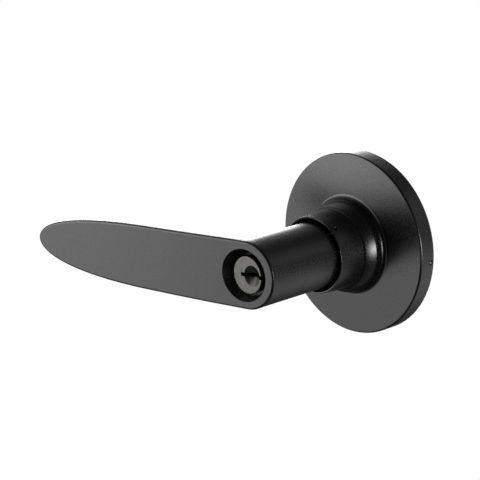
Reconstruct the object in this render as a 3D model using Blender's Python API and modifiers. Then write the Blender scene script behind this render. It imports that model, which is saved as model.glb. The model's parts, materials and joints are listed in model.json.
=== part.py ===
"""Outside trim of a commercial key-in-lever lockset, in metres, +Z up.

The origin is on the door's face, at the lowest point where the rose touches it. Everything turns
about one horizontal axis straight above. The pieces are modelled in the axis frame of the empty
trim_axis: x runs across the door, y runs up, and z runs out of the door, with z = 0 on the door's
face. trim_axis turns that frame so that z points along world -Y and y along world +Z. The lever
points to -X.
"""

import math

import bmesh
import bpy
from mathutils import Matrix

MM = 0.001

# Clearances, and how far a cutter runs past what it cuts.
GAP = 0.3 * MM
PIN_GAP = 0.1 * MM
OVERSHOOT = 5 * MM

# Facets in a full turn.
LARGE_ROUND = 48
MEDIUM_ROUND = 32
SMALL_ROUND = 16
TINY_ROUND = 12
SPRING_STEPS_PER_TURN = 18
PIN_SPRING_STEPS_PER_TURN = 8

# Edges sharper than this many degrees are shaded sharp, and points this close are one point.
SHARP_ANGLE = 35
WELD_DISTANCE = 0.001 * MM
TURN_MERGE_DISTANCE = 0.01 * MM

# A Bezier handle this share of the radius long makes a quarter of a circle.
CIRCLE_HANDLE = 4 / 3 * math.tan(math.pi / 8)

# Rose: a pressed cover, from its round rim over a shoulder to the collar round the lever's neck.
ROSE_RADIUS = 44.45 * MM
ROSE_RIM_DEPTH = 9.1 * MM
ROSE_SHEET = 1.0 * MM
ROSE_EDGE_ROUND = 1.0 * MM
ROSE_EDGE_ANGLE = 86
ROSE_FACE_INNER_DEPTH = 10.75 * MM
SHOULDER_ARCS = [(3.0 * MM, 55, 30), (22.0 * MM, 30, 17), (2.0 * MM, 17, 0)]
SHOULDER_FOOT_ROUND = 2.2 * MM
SHOULDER_FOOT_ANGLE = 265
COLLAR_FOOT_RADIUS = 19.7 * MM
COLLAR_FOOT_DEPTH = 21.7 * MM
COLLAR_LIP_RADIUS = 18.8 * MM
COLLAR_DEPTH = 36.4 * MM
RELEASE_HOLE_RADIUS = 1.1 * MM
RELEASE_HOLE_DEPTH = 33.2 * MM
RELEASE_HOLE_ANGLE = 48
PRY_DENT_BALL = 2.0 * MM
PRY_DENT_SINK = 0.6 * MM
PRY_DENT_DEPTH = 2.3 * MM
PRY_DENT_ANGLE = -5

# Mounting plate and the spring cage bolted to it.
PLATE_RADIUS = 42.8 * MM
PLATE_BACK = 0.5 * MM
PLATE_FRONT = 2.5 * MM
POST_SPACING = 70.0 * MM
POST_RADIUS = 3.0 * MM
POST_STEM_RADIUS = 2.5 * MM
POST_HEAD_RADIUS = 3.8 * MM
POST_HEAD_THICKNESS = 1.6 * MM
POST_LENGTH = 14.0 * MM
POST_ANGLES = (90, 270)
POST_THREAD_RADIUS = 1.7 * MM
POST_THREAD_FRONT = -3.0 * MM
CAGE_WALL_OUTER = 24.0 * MM
CAGE_WALL_INNER = 22.8 * MM
CAGE_FLANGE_RADIUS = 30.0 * MM
CAGE_SHEET = 1.2 * MM
CAGE_TOP_DEPTH = 9.0 * MM
CAGE_HUB_OUTER = 17.0 * MM
CAGE_HUB_INNER = 15.6 * MM
CAGE_HUB_DEPTH = 21.0 * MM
STOP_ANGLES = (113, 247)
STOP_WIDTH = 4.0 * MM
CAGE_SCREW_CIRCLE = 27.2 * MM
CAGE_SCREW_ANGLES = (0, 120, 240)
CAGE_SCREW_RADIUS = 1.3 * MM
CAGE_SCREW_HEAD_RADIUS = 2.4 * MM
CAGE_SCREW_HEAD_THICKNESS = 1.4 * MM
CAGE_SCREW_DOME_ANGLE = 36
CLIP_WIDTH = 12.0 * MM
CLIP_SHEET = 0.6 * MM
CLIP_HEIGHT = 4.2 * MM
CLIP_FOOT = 5.0 * MM
CLIP_LEAF_INSET = 0.05 * MM

# Return spring: one torsion spring between the mounting plate and the rotor.
SPRING_RADIUS = 19.0 * MM
SPRING_WIRE = 0.7 * MM
SPRING_LOW = 3.7 * MM
SPRING_HIGH = 5.3 * MM
SPRING_TURNS = 1.25
SPRING_PLATE_LEG_ANGLE = 45
SPRING_HOLE_RADIUS = 1.3 * MM

# Rotor, drive tube and the bearings round them.
ROTOR_RADIUS = 20.6 * MM
ROTOR_BACK = 6.3 * MM
ROTOR_FRONT = 7.5 * MM
ROTOR_LUG_RADIUS = 21.8 * MM
ROTOR_LUG_WIDTH = 10.0 * MM
ROTOR_LUG_OVERLAP = 2.0 * MM
TUBE_OUTER = 13.8 * MM
TUBE_INNER = 12.6 * MM
TUBE_BACK = -12.0 * MM
TUBE_FRONT = 46.0 * MM
TUBE_SLOT_WIDTH = 7.0 * MM
TUBE_SLOT_LENGTH = 6.0 * MM
BUSHING_THICKNESS = 1.1 * MM
BUSHING_BACK = 9.4 * MM
WASHER_BACK = 21.6 * MM
WASHER_FRONT = 22.5 * MM
RING_THICKNESS = 1.0 * MM
RING_RADIUS = 16.2 * MM
RING_GROOVE_RADIUS = 13.2 * MM
RING_OPENING = 40

# Lever: a round neck and a blade on its end, leaning and then bowed along its length.
NECK_RADIUS = 16.2 * MM
NECK_BACK = 22.9 * MM
FACE_DEPTH = 81.4 * MM
FACE_SLOPE = 0.11
BLADE_THICKNESS = 4.8 * MM
BLADE_LENGTH = 133.0 * MM
BLADE_HALF_HEIGHT = 16.35 * MM
BLADE_TAPER_START = 62.0 * MM
BLADE_TAPER_HALF_HEIGHT = 15.7 * MM
BLADE_TAPER_SLANT = 0.013
BLADE_TIP_FULLNESS = 10.5 * MM
BLADE_SHOULDER_REACH = 38.0 * MM
BLADE_EDGE_ROUND = 0.6 * MM
BOW_START = 10.0 * MM
BOW_RISE = 0.0156
BOW_RADIUS = 1530.0 * MM
WEB_ROUND = 12.0 * MM
WEB_INSET = 0.15 * MM
WEB_FOOT_ANGLE = 175
SOCKET_RADIUS = 14.2 * MM
SOCKET_DEPTH = 46.4 * MM
FRONT_BORE_RADIUS = 10.3 * MM
FRONT_BORE_BACK = 74.0 * MM
RECESS_DEPTH = 78.1 * MM
RECESS_TAPER = 0.7

# Lock cylinder: a brass shell with a pin housing on the blade's side, a plug and five pin stacks.
SHELL_RADIUS = 8.2 * MM
SHELL_BACK = 46.8 * MM
SHELL_FRONT = 73.6 * MM
SHELL_BORE = 6.65 * MM
HOUSING_WIDTH = 7.4 * MM
HOUSING_REACH = 13.0 * MM
HOUSING_BACK = 49.0 * MM
HOUSING_FRONT = 71.6 * MM
HOUSING_COVER_SHEET = 0.6 * MM
PIN_COUNT = 5
PIN_PITCH = 3.97 * MM
FIRST_PIN_DEPTH = 52.4 * MM
PIN_RADIUS = 1.15 * MM
CHAMBER_RADIUS = 1.5 * MM
DRIVER_LENGTH = 2.0 * MM
KEY_PIN_LENGTH = 2.6 * MM
KEY_PIN_EXTRA_LENGTHS = (0.0, 0.3 * MM, 0.15 * MM, 0.4 * MM, 0.1 * MM)
KEY_PIN_TIP = 0.8 * MM
CHAMBER_FLOOR = 1.6 * MM
PIN_SPRING_RADIUS = 0.85 * MM
PIN_SPRING_WIRE = 0.18 * MM
PIN_SPRING_TURNS = 3
PLUG_RADIUS = 6.35 * MM
PLUG_BACK = 46.8 * MM
PLUG_HEAD_RADIUS = 8.96 * MM
PLUG_HEAD_BACK = 74.3 * MM
PLUG_FACE_DEPTH = 80.05 * MM
PLUG_STUB_RADIUS = 4.5 * MM
PLUG_STUB_BACK = 44.6 * MM
KEYWAY_WIDTH = 1.85 * MM
KEYWAY_BITTING_SIDE = 4.2 * MM
KEYWAY_BACK = 50.4 * MM
KEY_GUIDE_OFFSET = 3.0 * MM
KEY_GUIDE_RADIUS = 5.0 * MM
KEY_GUIDE_DEPTH = 2.6 * MM
CAP_RADIUS = 7.6 * MM
CAP_BACK = 44.8 * MM
TAILPIECE_WIDTH = 5.0 * MM
TAILPIECE_THICKNESS = 1.2 * MM
TAILPIECE_BACK = -10.0 * MM
TAILPIECE_FLANGE_THICKNESS = 1.2 * MM

# Lever catch: a sprung button in the drive tube that holds the lever on.
CATCH_RADIUS = 1.9 * MM
CATCH_OUTER = 15.8 * MM
CATCH_HEAD_RADIUS = 2.7 * MM
CATCH_HEAD_OUTER = 12.2 * MM
CATCH_HEAD_THICKNESS = 0.6 * MM
CATCH_CHAMFER = 0.57 * MM
CATCH_SPRING_RADIUS = 11.5 * MM
CATCH_SPRING_SHEET = 0.4 * MM
CATCH_SPRING_SHIFT = 0.5 * MM
CATCH_SPRING_WIDTH = 4.0 * MM
CATCH_SPRING_OPENING = 80


# ---------------------------------------------------------------- scene and materials


def clear_scene():
    for obj in list(bpy.data.objects):
        bpy.data.objects.remove(obj, do_unlink=True)


def new_collection(name):
    collection = bpy.data.collections.new(name)
    bpy.context.scene.collection.children.link(collection)
    return collection


def finish(name, colour, roughness, metallic):
    material = bpy.data.materials.new(name)
    material.use_nodes = True
    shader = material.node_tree.nodes["Principled BSDF"]
    shader.inputs["Base Color"].default_value = (*colour, 1.0)
    shader.inputs["Roughness"].default_value = roughness
    shader.inputs["Metallic"].default_value = metallic
    return material


clear_scene()
PARTS = new_collection("lever_lockset_outside_trim")
CUTTERS = new_collection("cutters")

BLACK_COAT = finish("black_coat", (0.032, 0.032, 0.031), 0.42, 0.0)
SATIN_NICKEL = finish("satin_nickel", (0.62, 0.61, 0.58), 0.32, 1.0)
BRASS = finish("brass", (0.72, 0.53, 0.24), 0.3, 1.0)
ZINC_PLATE = finish("zinc_plate", (0.56, 0.57, 0.58), 0.4, 1.0)
SPRING_STEEL = finish("spring_steel", (0.4, 0.4, 0.42), 0.3, 1.0)
NYLON = finish("nylon", (0.82, 0.81, 0.77), 0.5, 0.0)


def new_frame(name, parent, matrix=None):
    """An empty that carries pieces, and marks a joint's axis where they move."""
    frame = bpy.data.objects.new(name, None)
    PARTS.objects.link(frame)
    frame.parent = parent
    if matrix is not None:
        frame.matrix_local = matrix
    return frame


# The origin is half a sheet's thickness above the rim's lowest point, in the middle of its edge.
AXIS_HEIGHT = ROSE_RADIUS - ROSE_SHEET / 2
AXIS_TURN = Matrix.Rotation(math.radians(90), 4, "X")
TRIM_AXIS = new_frame("trim_axis", None, Matrix.Translation((0, 0, AXIS_HEIGHT)) @ AXIS_TURN)
LEVER_AXIS = new_frame("lever_axis", TRIM_AXIS)
PLUG_AXIS = new_frame("plug_axis", LEVER_AXIS)
CATCH_TURN = Matrix.Rotation(math.radians(RELEASE_HOLE_ANGLE), 4, "Z")
CATCH_AXIS = new_frame("catch_axis", LEVER_AXIS, Matrix.Translation((0, 0, RELEASE_HOLE_DEPTH)) @ CATCH_TURN)


# ---------------------------------------------------------------- modelling helpers


def link_object(name, mesh, parent, material=None):
    """A new object: a piece of the lockset with a material, or a hidden cutter without one."""
    obj = bpy.data.objects.new(name, mesh)
    (PARTS if material else CUTTERS).objects.link(obj)
    obj.parent = parent
    if material:
        obj.data.materials.append(material)
    else:
        obj.hide_render = True
        obj.display_type = "WIRE"
    return obj


def bake(obj):
    """Turns the object's modifiers into its mesh, shaded smooth but for its sharp edges."""
    graph = bpy.context.evaluated_depsgraph_get()
    mesh = bpy.data.meshes.new_from_object(obj.evaluated_get(graph), depsgraph=graph)
    obj.modifiers.clear()
    obj.data = mesh
    mesh.shade_smooth()
    mesh.set_sharp_from_angle(angle=math.radians(SHARP_ANGLE))
    return obj


def boolean(obj, operation, other, solver="EXACT"):
    modifier = obj.modifiers.new(operation.lower(), "BOOLEAN")
    modifier.operation = operation
    modifier.solver = solver
    modifier.object = other


def cut(obj, *cutters, solver="EXACT"):
    for cutter in cutters:
        boolean(obj, "DIFFERENCE", cutter, solver)
    return bake(obj)


def join(obj, *others, solver="EXACT"):
    for other in others:
        boolean(obj, "UNION", other, solver)
    return bake(obj)


def arc(centre_r, centre_z, radius, start, end, steps):
    """Points (radius from the axis, depth) along an arc, with angles in degrees from straight out."""
    points = []
    for step in range(steps + 1):
        angle = math.radians(start + (end - start) * step / steps)
        points.append((centre_r + radius * math.cos(angle), centre_z + radius * math.sin(angle)))
    return points


def turn(name, profile, parent, material=None, segments=MEDIUM_ROUND, closed=True):
    """A profile of (radius, depth) points spun round z. It runs down its outer side first."""
    mesh = bpy.data.meshes.new(name)
    last = len(profile) - 1
    edges = [(i, i + 1) for i in range(last)]
    if closed:
        edges.append((last, 0))
    mesh.from_pydata([(r, 0, z) for r, z in profile], edges, [])
    obj = link_object(name, mesh, parent, material)
    screw = obj.modifiers.new("turn", "SCREW")
    screw.axis = "Z"
    screw.steps = segments
    screw.render_steps = segments
    screw.use_merge_vertices = True
    screw.merge_threshold = TURN_MERGE_DISTANCE
    return obj


def ring(name, outer, inner, back, front, parent, material=None, segments=MEDIUM_ROUND):
    profile = [(outer, front), (outer, back), (inner, back), (inner, front)]
    return bake(turn(name, profile, parent, material, segments))


def rod(name, radius, back, front, parent, material=None, segments=SMALL_ROUND, matrix=None):
    mesh = bpy.data.meshes.new(name)
    form = bmesh.new()
    bmesh.ops.create_cone(
        form, cap_ends=True, segments=segments, radius1=radius, radius2=radius, depth=front - back
    )
    bmesh.ops.translate(form, verts=form.verts, vec=(0, 0, (front + back) / 2))
    form.to_mesh(mesh)
    form.free()
    obj = link_object(name, mesh, parent, material)
    if matrix is not None:
        obj.matrix_local = matrix
    return obj


def block(name, low, high, parent, material=None, matrix=None):
    mesh = bpy.data.meshes.new(name)
    form = bmesh.new()
    bmesh.ops.create_cube(form, size=1)
    size = [b - a for a, b in zip(low, high)]
    middle = [(a + b) / 2 for a, b in zip(low, high)]
    bmesh.ops.scale(form, verts=form.verts, vec=size)
    bmesh.ops.translate(form, verts=form.verts, vec=middle)
    form.to_mesh(mesh)
    form.free()
    obj = link_object(name, mesh, parent, material)
    if matrix is not None:
        obj.matrix_local = matrix
    return obj


def spin(angle):
    return Matrix.Rotation(math.radians(angle), 4, "Z")


def radial(angle, depth):
    """The placing of a radial piece: its z points away from the axis at this angle and depth."""
    return Matrix.Translation((0, 0, depth)) @ spin(angle) @ Matrix.Rotation(math.radians(90), 4, "Y")


def at(radius, angle):
    """The placing of a piece parallel to the axis, at this radius and angle."""
    return spin(angle) @ Matrix.Translation((radius, 0, 0))


def mesh_of_curve(curve):
    """The curve's surface as a mesh with its caps welded on."""
    guide = bpy.data.objects.new(curve.name + "_path", curve)
    PARTS.objects.link(guide)
    graph = bpy.context.evaluated_depsgraph_get()
    mesh = bpy.data.meshes.new_from_object(guide.evaluated_get(graph), depsgraph=graph)
    bpy.data.objects.remove(guide)
    form = bmesh.new()
    form.from_mesh(mesh)
    bmesh.ops.remove_doubles(form, verts=form.verts, dist=WELD_DISTANCE)
    bmesh.ops.recalc_face_normals(form, faces=form.faces)
    form.to_mesh(mesh)
    form.free()
    mesh.materials.clear()
    return mesh


def wire(name, points, radius, parent, material, sides_level=1):
    """A wire along points, as a mesh with its ends closed."""
    curve = bpy.data.curves.new(name, "CURVE")
    curve.dimensions = "3D"
    curve.bevel_depth = radius
    curve.bevel_resolution = sides_level
    curve.use_fill_caps = True
    spline = curve.splines.new("POLY")
    spline.points.add(len(points) - 1)
    for spot, point in zip(spline.points, points):
        spot.co = (*point, 1)
    mesh = mesh_of_curve(curve)
    mesh.shade_smooth()
    return link_object(name, mesh, parent, material)


# ---------------------------------------------------------------- fixed pieces, on the door


def shoulder_line():
    """The shoulder's arcs from the collar's foot to its upright wall, each carrying on from the last."""
    radius, depth = COLLAR_FOOT_RADIUS, COLLAR_FOOT_DEPTH
    points = []
    for size, first, last in SHOULDER_ARCS:
        centre_radius = radius - size * math.cos(math.radians(first))
        centre_depth = depth - size * math.sin(math.radians(first))
        stretch = arc(centre_radius, centre_depth, size, first, last, 3)
        points += stretch[1:]
        radius, depth = stretch[-1]
    return points


def rose_profile():
    """The rose's outer line, from the lip of the collar down to the rim's back edge."""
    shoulder = shoulder_line()
    foot_centre = shoulder[-1][0] + SHOULDER_FOOT_ROUND
    foot_depth = ROSE_FACE_INNER_DEPTH + SHOULDER_FOOT_ROUND
    edge_centre = ROSE_RADIUS - ROSE_EDGE_ROUND
    edge_depth = ROSE_RIM_DEPTH - ROSE_EDGE_ROUND
    return [
        (COLLAR_LIP_RADIUS, COLLAR_DEPTH),
        (COLLAR_FOOT_RADIUS, COLLAR_FOOT_DEPTH),
        *shoulder,
        *arc(foot_centre, foot_depth, SHOULDER_FOOT_ROUND, 180, SHOULDER_FOOT_ANGLE, 4),
        *arc(edge_centre, edge_depth, ROSE_EDGE_ROUND, ROSE_EDGE_ANGLE, 0, 2),
        (ROSE_RADIUS, 0),
    ]


def make_rose_cover():
    rose = turn("rose_cover", rose_profile(), TRIM_AXIS, BLACK_COAT, LARGE_ROUND, closed=False)
    shell = rose.modifiers.new("sheet", "SOLIDIFY")
    shell.thickness = ROSE_SHEET
    shell.offset = -1
    shell.use_even_offset = True
    hole = rod(
        "release_hole_cutter", RELEASE_HOLE_RADIUS, NECK_RADIUS, COLLAR_FOOT_RADIUS + OVERSHOOT,
        TRIM_AXIS, segments=TINY_ROUND, matrix=radial(RELEASE_HOLE_ANGLE, RELEASE_HOLE_DEPTH),
    )
    ball_height = ROSE_RADIUS + PRY_DENT_BALL - PRY_DENT_SINK
    dent = turn(
        "pry_dent_cutter", arc(0, ball_height, PRY_DENT_BALL, 90, -90, 12),
        TRIM_AXIS, segments=SMALL_ROUND, closed=False,
    )
    dent.matrix_local = radial(PRY_DENT_ANGLE, PRY_DENT_DEPTH)
    cut(rose, hole, dent)


def make_mounting_plate():
    plate = ring(
        "mounting_plate", PLATE_RADIUS, TUBE_OUTER + GAP, PLATE_BACK, PLATE_FRONT,
        TRIM_AXIS, ZINC_PLATE, LARGE_ROUND,
    )
    holes = []
    for index, angle in enumerate(POST_ANGLES):
        holes.append(rod(
            f"post_hole_cutter_{index + 1}", POST_STEM_RADIUS + GAP, -OVERSHOOT, PLATE_FRONT + OVERSHOOT,
            TRIM_AXIS, matrix=at(POST_SPACING / 2, angle),
        ))
    for index, angle in enumerate(CAGE_SCREW_ANGLES):
        holes.append(rod(
            f"screw_hole_cutter_{index + 1}", CAGE_SCREW_RADIUS + GAP, -OVERSHOOT, CAGE_TOP_DEPTH,
            TRIM_AXIS, segments=TINY_ROUND, matrix=at(CAGE_SCREW_CIRCLE, angle),
        ))
    holes.append(rod(
        "spring_leg_hole_cutter", SPRING_HOLE_RADIUS, -OVERSHOOT, PLATE_FRONT + OVERSHOOT,
        TRIM_AXIS, segments=TINY_ROUND, matrix=at(SPRING_RADIUS, SPRING_PLATE_LEG_ANGLE),
    ))
    cut(plate, *holes)


def make_posts():
    """Threaded posts that the through bolts from the inside trim screw into."""
    for side, angle in zip(("upper", "lower"), POST_ANGLES):
        head_back = PLATE_FRONT + GAP
        profile = [
            (0, head_back + POST_HEAD_THICKNESS),
            (POST_HEAD_RADIUS, head_back + POST_HEAD_THICKNESS),
            (POST_HEAD_RADIUS, head_back),
            (POST_STEM_RADIUS, head_back),
            (POST_STEM_RADIUS, PLATE_BACK - GAP),
            (POST_RADIUS, PLATE_BACK - GAP),
            (POST_RADIUS, -POST_LENGTH),
            (POST_THREAD_RADIUS, -POST_LENGTH),
            (POST_THREAD_RADIUS, POST_THREAD_FRONT),
            (0, POST_THREAD_FRONT),
        ]
        post = turn(f"bolt_post_{side}", profile, TRIM_AXIS, ZINC_PLATE, SMALL_ROUND, closed=False)
        post.matrix_local = at(POST_SPACING / 2, angle)
        bake(post)


def make_spring_cage():
    """The cup over the return spring, with its flange, its bearing hub and two stops for the rotor."""
    flange_back = PLATE_FRONT + GAP
    profile = [
        (CAGE_HUB_OUTER, CAGE_HUB_DEPTH),
        (CAGE_HUB_OUTER, CAGE_TOP_DEPTH),
        (CAGE_WALL_OUTER, CAGE_TOP_DEPTH),
        (CAGE_WALL_OUTER, flange_back + CAGE_SHEET),
        (CAGE_FLANGE_RADIUS, flange_back + CAGE_SHEET),
        (CAGE_FLANGE_RADIUS, flange_back),
        (CAGE_WALL_INNER, flange_back),
        (CAGE_WALL_INNER, CAGE_TOP_DEPTH - CAGE_SHEET),
        (CAGE_HUB_INNER, CAGE_TOP_DEPTH - CAGE_SHEET),
        (CAGE_HUB_INNER, CAGE_HUB_DEPTH),
    ]
    cage = bake(turn("spring_cage", profile, TRIM_AXIS, ZINC_PLATE, LARGE_ROUND))
    stops = []
    for index, angle in enumerate(STOP_ANGLES):
        stops.append(block(
            f"stop_{index + 1}",
            (ROTOR_RADIUS + GAP, -STOP_WIDTH / 2, ROTOR_BACK),
            ((CAGE_WALL_INNER + CAGE_WALL_OUTER) / 2, STOP_WIDTH / 2, CAGE_TOP_DEPTH - CAGE_SHEET / 2),
            TRIM_AXIS, matrix=spin(angle),
        ))
    join(cage, *stops)
    cut(cage, *[bpy.data.objects[f"screw_hole_cutter_{i + 1}"] for i in range(len(CAGE_SCREW_ANGLES))])


def make_cage_screws():
    for index, angle in enumerate(CAGE_SCREW_ANGLES):
        head_back = PLATE_FRONT + CAGE_SHEET + 2 * GAP
        profile = [
            (0, head_back + CAGE_SCREW_HEAD_THICKNESS),
            *arc(0, head_back, CAGE_SCREW_HEAD_RADIUS, CAGE_SCREW_DOME_ANGLE, 0, 2),
            (CAGE_SCREW_RADIUS, head_back),
            (CAGE_SCREW_RADIUS, PLATE_BACK),
            (0, PLATE_BACK),
        ]
        screw = turn(f"cage_screw_{index + 1}", profile, TRIM_AXIS, ZINC_PLATE, TINY_ROUND, closed=False)
        screw.matrix_local = at(CAGE_SCREW_CIRCLE, angle)
        bake(screw)


def make_rose_clips():
    """Bent spring strips on the plate that the rose snaps over."""
    for side, angle in (("left", 180), ("right", 0)):
        foot_low = PLATE_FRONT + GAP
        outer = ROSE_RADIUS - ROSE_SHEET - 2 * GAP
        foot = block(
            f"rose_clip_{side}",
            (outer - CLIP_FOOT, -CLIP_WIDTH / 2, foot_low),
            (outer, CLIP_WIDTH / 2, foot_low + CLIP_SHEET),
            TRIM_AXIS, SPRING_STEEL, matrix=spin(angle),
        )
        leaf = block(
            f"rose_clip_leaf_{side}",
            (outer - CLIP_SHEET, -CLIP_WIDTH / 4, foot_low + CLIP_SHEET / 2),
            (outer - CLIP_LEAF_INSET, CLIP_WIDTH / 4, foot_low + CLIP_HEIGHT),
            TRIM_AXIS, matrix=spin(angle),
        )
        join(foot, leaf)


def make_bearings():
    inner = TUBE_OUTER + GAP
    ring("hub_bushing", inner + BUSHING_THICKNESS, inner, BUSHING_BACK, CAGE_HUB_DEPTH, TRIM_AXIS, NYLON)
    ring("thrust_washer", NECK_RADIUS, inner, WASHER_BACK, WASHER_FRONT, TRIM_AXIS, NYLON)


def make_return_spring():
    """A torsion spring: one end hooked in the plate, the other in the rotor."""
    steps = round(SPRING_STEPS_PER_TURN * SPRING_TURNS)
    points = []
    for step in range(steps + 1):
        part = step / steps
        angle = math.radians(SPRING_PLATE_LEG_ANGLE + 360 * SPRING_TURNS * part)
        depth = SPRING_LOW + (SPRING_HIGH - SPRING_LOW) * part
        points.append((SPRING_RADIUS * math.cos(angle), SPRING_RADIUS * math.sin(angle), depth))
    first, last = points[0], points[-1]
    points.insert(0, (first[0], first[1], PLATE_BACK + GAP))
    points.append((last[0], last[1], ROTOR_FRONT - GAP))
    wire("return_spring", points, SPRING_WIRE, TRIM_AXIS, SPRING_STEEL)
    return math.degrees(math.atan2(last[1], last[0]))


# ---------------------------------------------------------------- pieces that turn with the lever


def blade_outline(name, thickness, inset, edge_round):
    """The blade's outline as a plate: a half circle round the neck's end, and a long round tip."""
    curve = bpy.data.curves.new(name, "CURVE")
    curve.dimensions = "2D"
    curve.fill_mode = "BOTH"
    curve.extrude = thickness / 2 - edge_round
    curve.bevel_depth = edge_round
    curve.bevel_resolution = 1
    curve.offset = -inset - edge_round
    curve.resolution_u = 10
    circle_handle = CIRCLE_HANDLE * BLADE_HALF_HEIGHT
    high, start, reach = BLADE_TAPER_HALF_HEIGHT, BLADE_TAPER_START, BLADE_SHOULDER_REACH
    slant = BLADE_TAPER_SLANT
    # Each point: place, handle before it, handle after it, going round from the neck's end.
    end = ((BLADE_HALF_HEIGHT, 0), (BLADE_HALF_HEIGHT, -circle_handle), (BLADE_HALF_HEIGHT, circle_handle))
    upper = [
        ((0, BLADE_HALF_HEIGHT), (circle_handle, BLADE_HALF_HEIGHT), (-start / 3, BLADE_HALF_HEIGHT)),
        ((-start, high), (-start * 2 / 3, high + slant * start / 3), (-start - reach, high - slant * reach)),
    ]
    tip = ((-BLADE_LENGTH, 0), (-BLADE_LENGTH, BLADE_TIP_FULLNESS), (-BLADE_LENGTH, -BLADE_TIP_FULLNESS))
    lower = [
        tuple((x, -y) for x, y in (place, after, before)) for place, before, after in reversed(upper)
    ]
    points = [end, *upper, tip, *lower]
    spline = curve.splines.new("BEZIER")
    spline.use_cyclic_u = True
    spline.bezier_points.add(len(points) - 1)
    for spot, (place, before, after) in zip(spline.bezier_points, points):
        spot.handle_left_type = "FREE"
        spot.handle_right_type = "FREE"
        spot.co = (*place, 0)
        spot.handle_left = (*before, 0)
        spot.handle_right = (*after, 0)
    return link_object(name, mesh_of_curve(curve), LEVER_AXIS)


def blade_frame(depth_below_face):
    """The placing of a plate whose middle lies this far below the blade's leaning front face."""
    lean = Matrix.Rotation(math.atan(FACE_SLOPE), 4, "Y")
    return Matrix.Translation((0, 0, FACE_DEPTH)) @ lean @ Matrix.Translation((0, 0, -depth_below_face))


def bow(plate):
    """Bends the plate along its length: it rises a little more, then curves back toward the door."""
    for vertex in plate.data.vertices:
        past_start = max(-vertex.co.x - BOW_START, 0)
        vertex.co.z += BOW_RISE * past_start - past_start**2 / (2 * BOW_RADIUS)


def make_web():
    """The sweep from the neck into the blade's leaning back: a trumpet, kept only behind the blade."""
    lean = math.atan(FACE_SLOPE)
    reach = NECK_RADIUS + WEB_ROUND * (1 - math.sin(lean))
    blade_back = FACE_DEPTH - BLADE_THICKNESS / math.cos(lean) + FACE_SLOPE * reach
    foot = blade_back - WEB_ROUND * math.cos(lean)
    profile = [
        (0, blade_back + BLADE_THICKNESS / 2),
        (reach, blade_back + BLADE_THICKNESS / 2),
        *arc(NECK_RADIUS + WEB_ROUND, foot, WEB_ROUND, 90 + math.degrees(lean), WEB_FOOT_ANGLE, 7),
        (NECK_RADIUS - GAP, foot),
        (0, foot),
    ]
    web = bake(turn("web", profile, LEVER_AXIS, segments=LARGE_ROUND, closed=False))
    limit = blade_outline("web_limit", 4 * WEB_ROUND, WEB_INSET, 0)
    limit.matrix_local = blade_frame(2 * WEB_ROUND + BLADE_THICKNESS / 2)
    boolean(web, "INTERSECT", limit, "MANIFOLD")
    return bake(web)


def make_lever_handle():
    """Neck, web and blade in one casting, then its bores."""
    neck_front = FACE_DEPTH - BLADE_THICKNESS / 2
    neck_profile = [(0, neck_front), (NECK_RADIUS, neck_front), (NECK_RADIUS, NECK_BACK), (0, NECK_BACK)]
    lever = bake(turn("lever_handle", neck_profile, LEVER_AXIS, BLACK_COAT, LARGE_ROUND, closed=False))
    blade = blade_outline("blade_plate", BLADE_THICKNESS, 0, BLADE_EDGE_ROUND)
    blade.matrix_local = blade_frame(BLADE_THICKNESS / 2)
    bow(blade)
    join(lever, make_web(), blade, solver="MANIFOLD")

    recess_top = FACE_DEPTH + OVERSHOOT
    bore_profile = [
        (0, recess_top),
        (FRONT_BORE_RADIUS + RECESS_TAPER * (recess_top - RECESS_DEPTH), recess_top),
        (FRONT_BORE_RADIUS, RECESS_DEPTH),
        (FRONT_BORE_RADIUS, FRONT_BORE_BACK),
        (SHELL_RADIUS + GAP, FRONT_BORE_BACK),
        (SHELL_RADIUS + GAP, SOCKET_DEPTH),
        (SOCKET_RADIUS, SOCKET_DEPTH),
        (SOCKET_RADIUS, NECK_BACK - OVERSHOOT),
        (0, NECK_BACK - OVERSHOOT),
    ]
    bore = bake(turn("lever_bore_cutter", bore_profile, LEVER_AXIS, closed=False))
    pocket = block(
        "pin_housing_pocket_cutter",
        (-HOUSING_REACH - HOUSING_COVER_SHEET - 2 * GAP, -HOUSING_WIDTH / 2 - GAP, SOCKET_DEPTH - OVERSHOOT),
        (0, HOUSING_WIDTH / 2 + GAP, HOUSING_FRONT + GAP),
        LEVER_AXIS,
    )
    catch_hole = rod(
        "catch_hole_cutter", CATCH_RADIUS + GAP, TUBE_INNER - OVERSHOOT, NECK_RADIUS + OVERSHOOT,
        LEVER_AXIS, matrix=radial(RELEASE_HOLE_ANGLE, RELEASE_HOLE_DEPTH),
    )
    cut(lever, bore, pocket, catch_hole, solver="MANIFOLD")


def make_drive_tube():
    """The outside spindle, grooved for its retaining ring and slotted for the lock body."""
    ring_back = PLATE_BACK - GAP - RING_THICKNESS
    profile = [
        (TUBE_OUTER, TUBE_FRONT),
        (TUBE_OUTER, PLATE_BACK),
        (RING_GROOVE_RADIUS, PLATE_BACK),
        (RING_GROOVE_RADIUS, ring_back - GAP),
        (TUBE_OUTER, ring_back - GAP),
        (TUBE_OUTER, TUBE_BACK),
        (TUBE_INNER, TUBE_BACK),
        (TUBE_INNER, TUBE_FRONT),
    ]
    tube = bake(turn("drive_tube", profile, LEVER_AXIS, ZINC_PLATE))
    slot = block(
        "tube_slot_cutter",
        (-2 * TUBE_OUTER, -TUBE_SLOT_WIDTH / 2, TUBE_BACK - OVERSHOOT),
        (2 * TUBE_OUTER, TUBE_SLOT_WIDTH / 2, TUBE_BACK + TUBE_SLOT_LENGTH),
        LEVER_AXIS,
    )
    cut(tube, slot, bpy.data.objects["catch_hole_cutter"])


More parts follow.
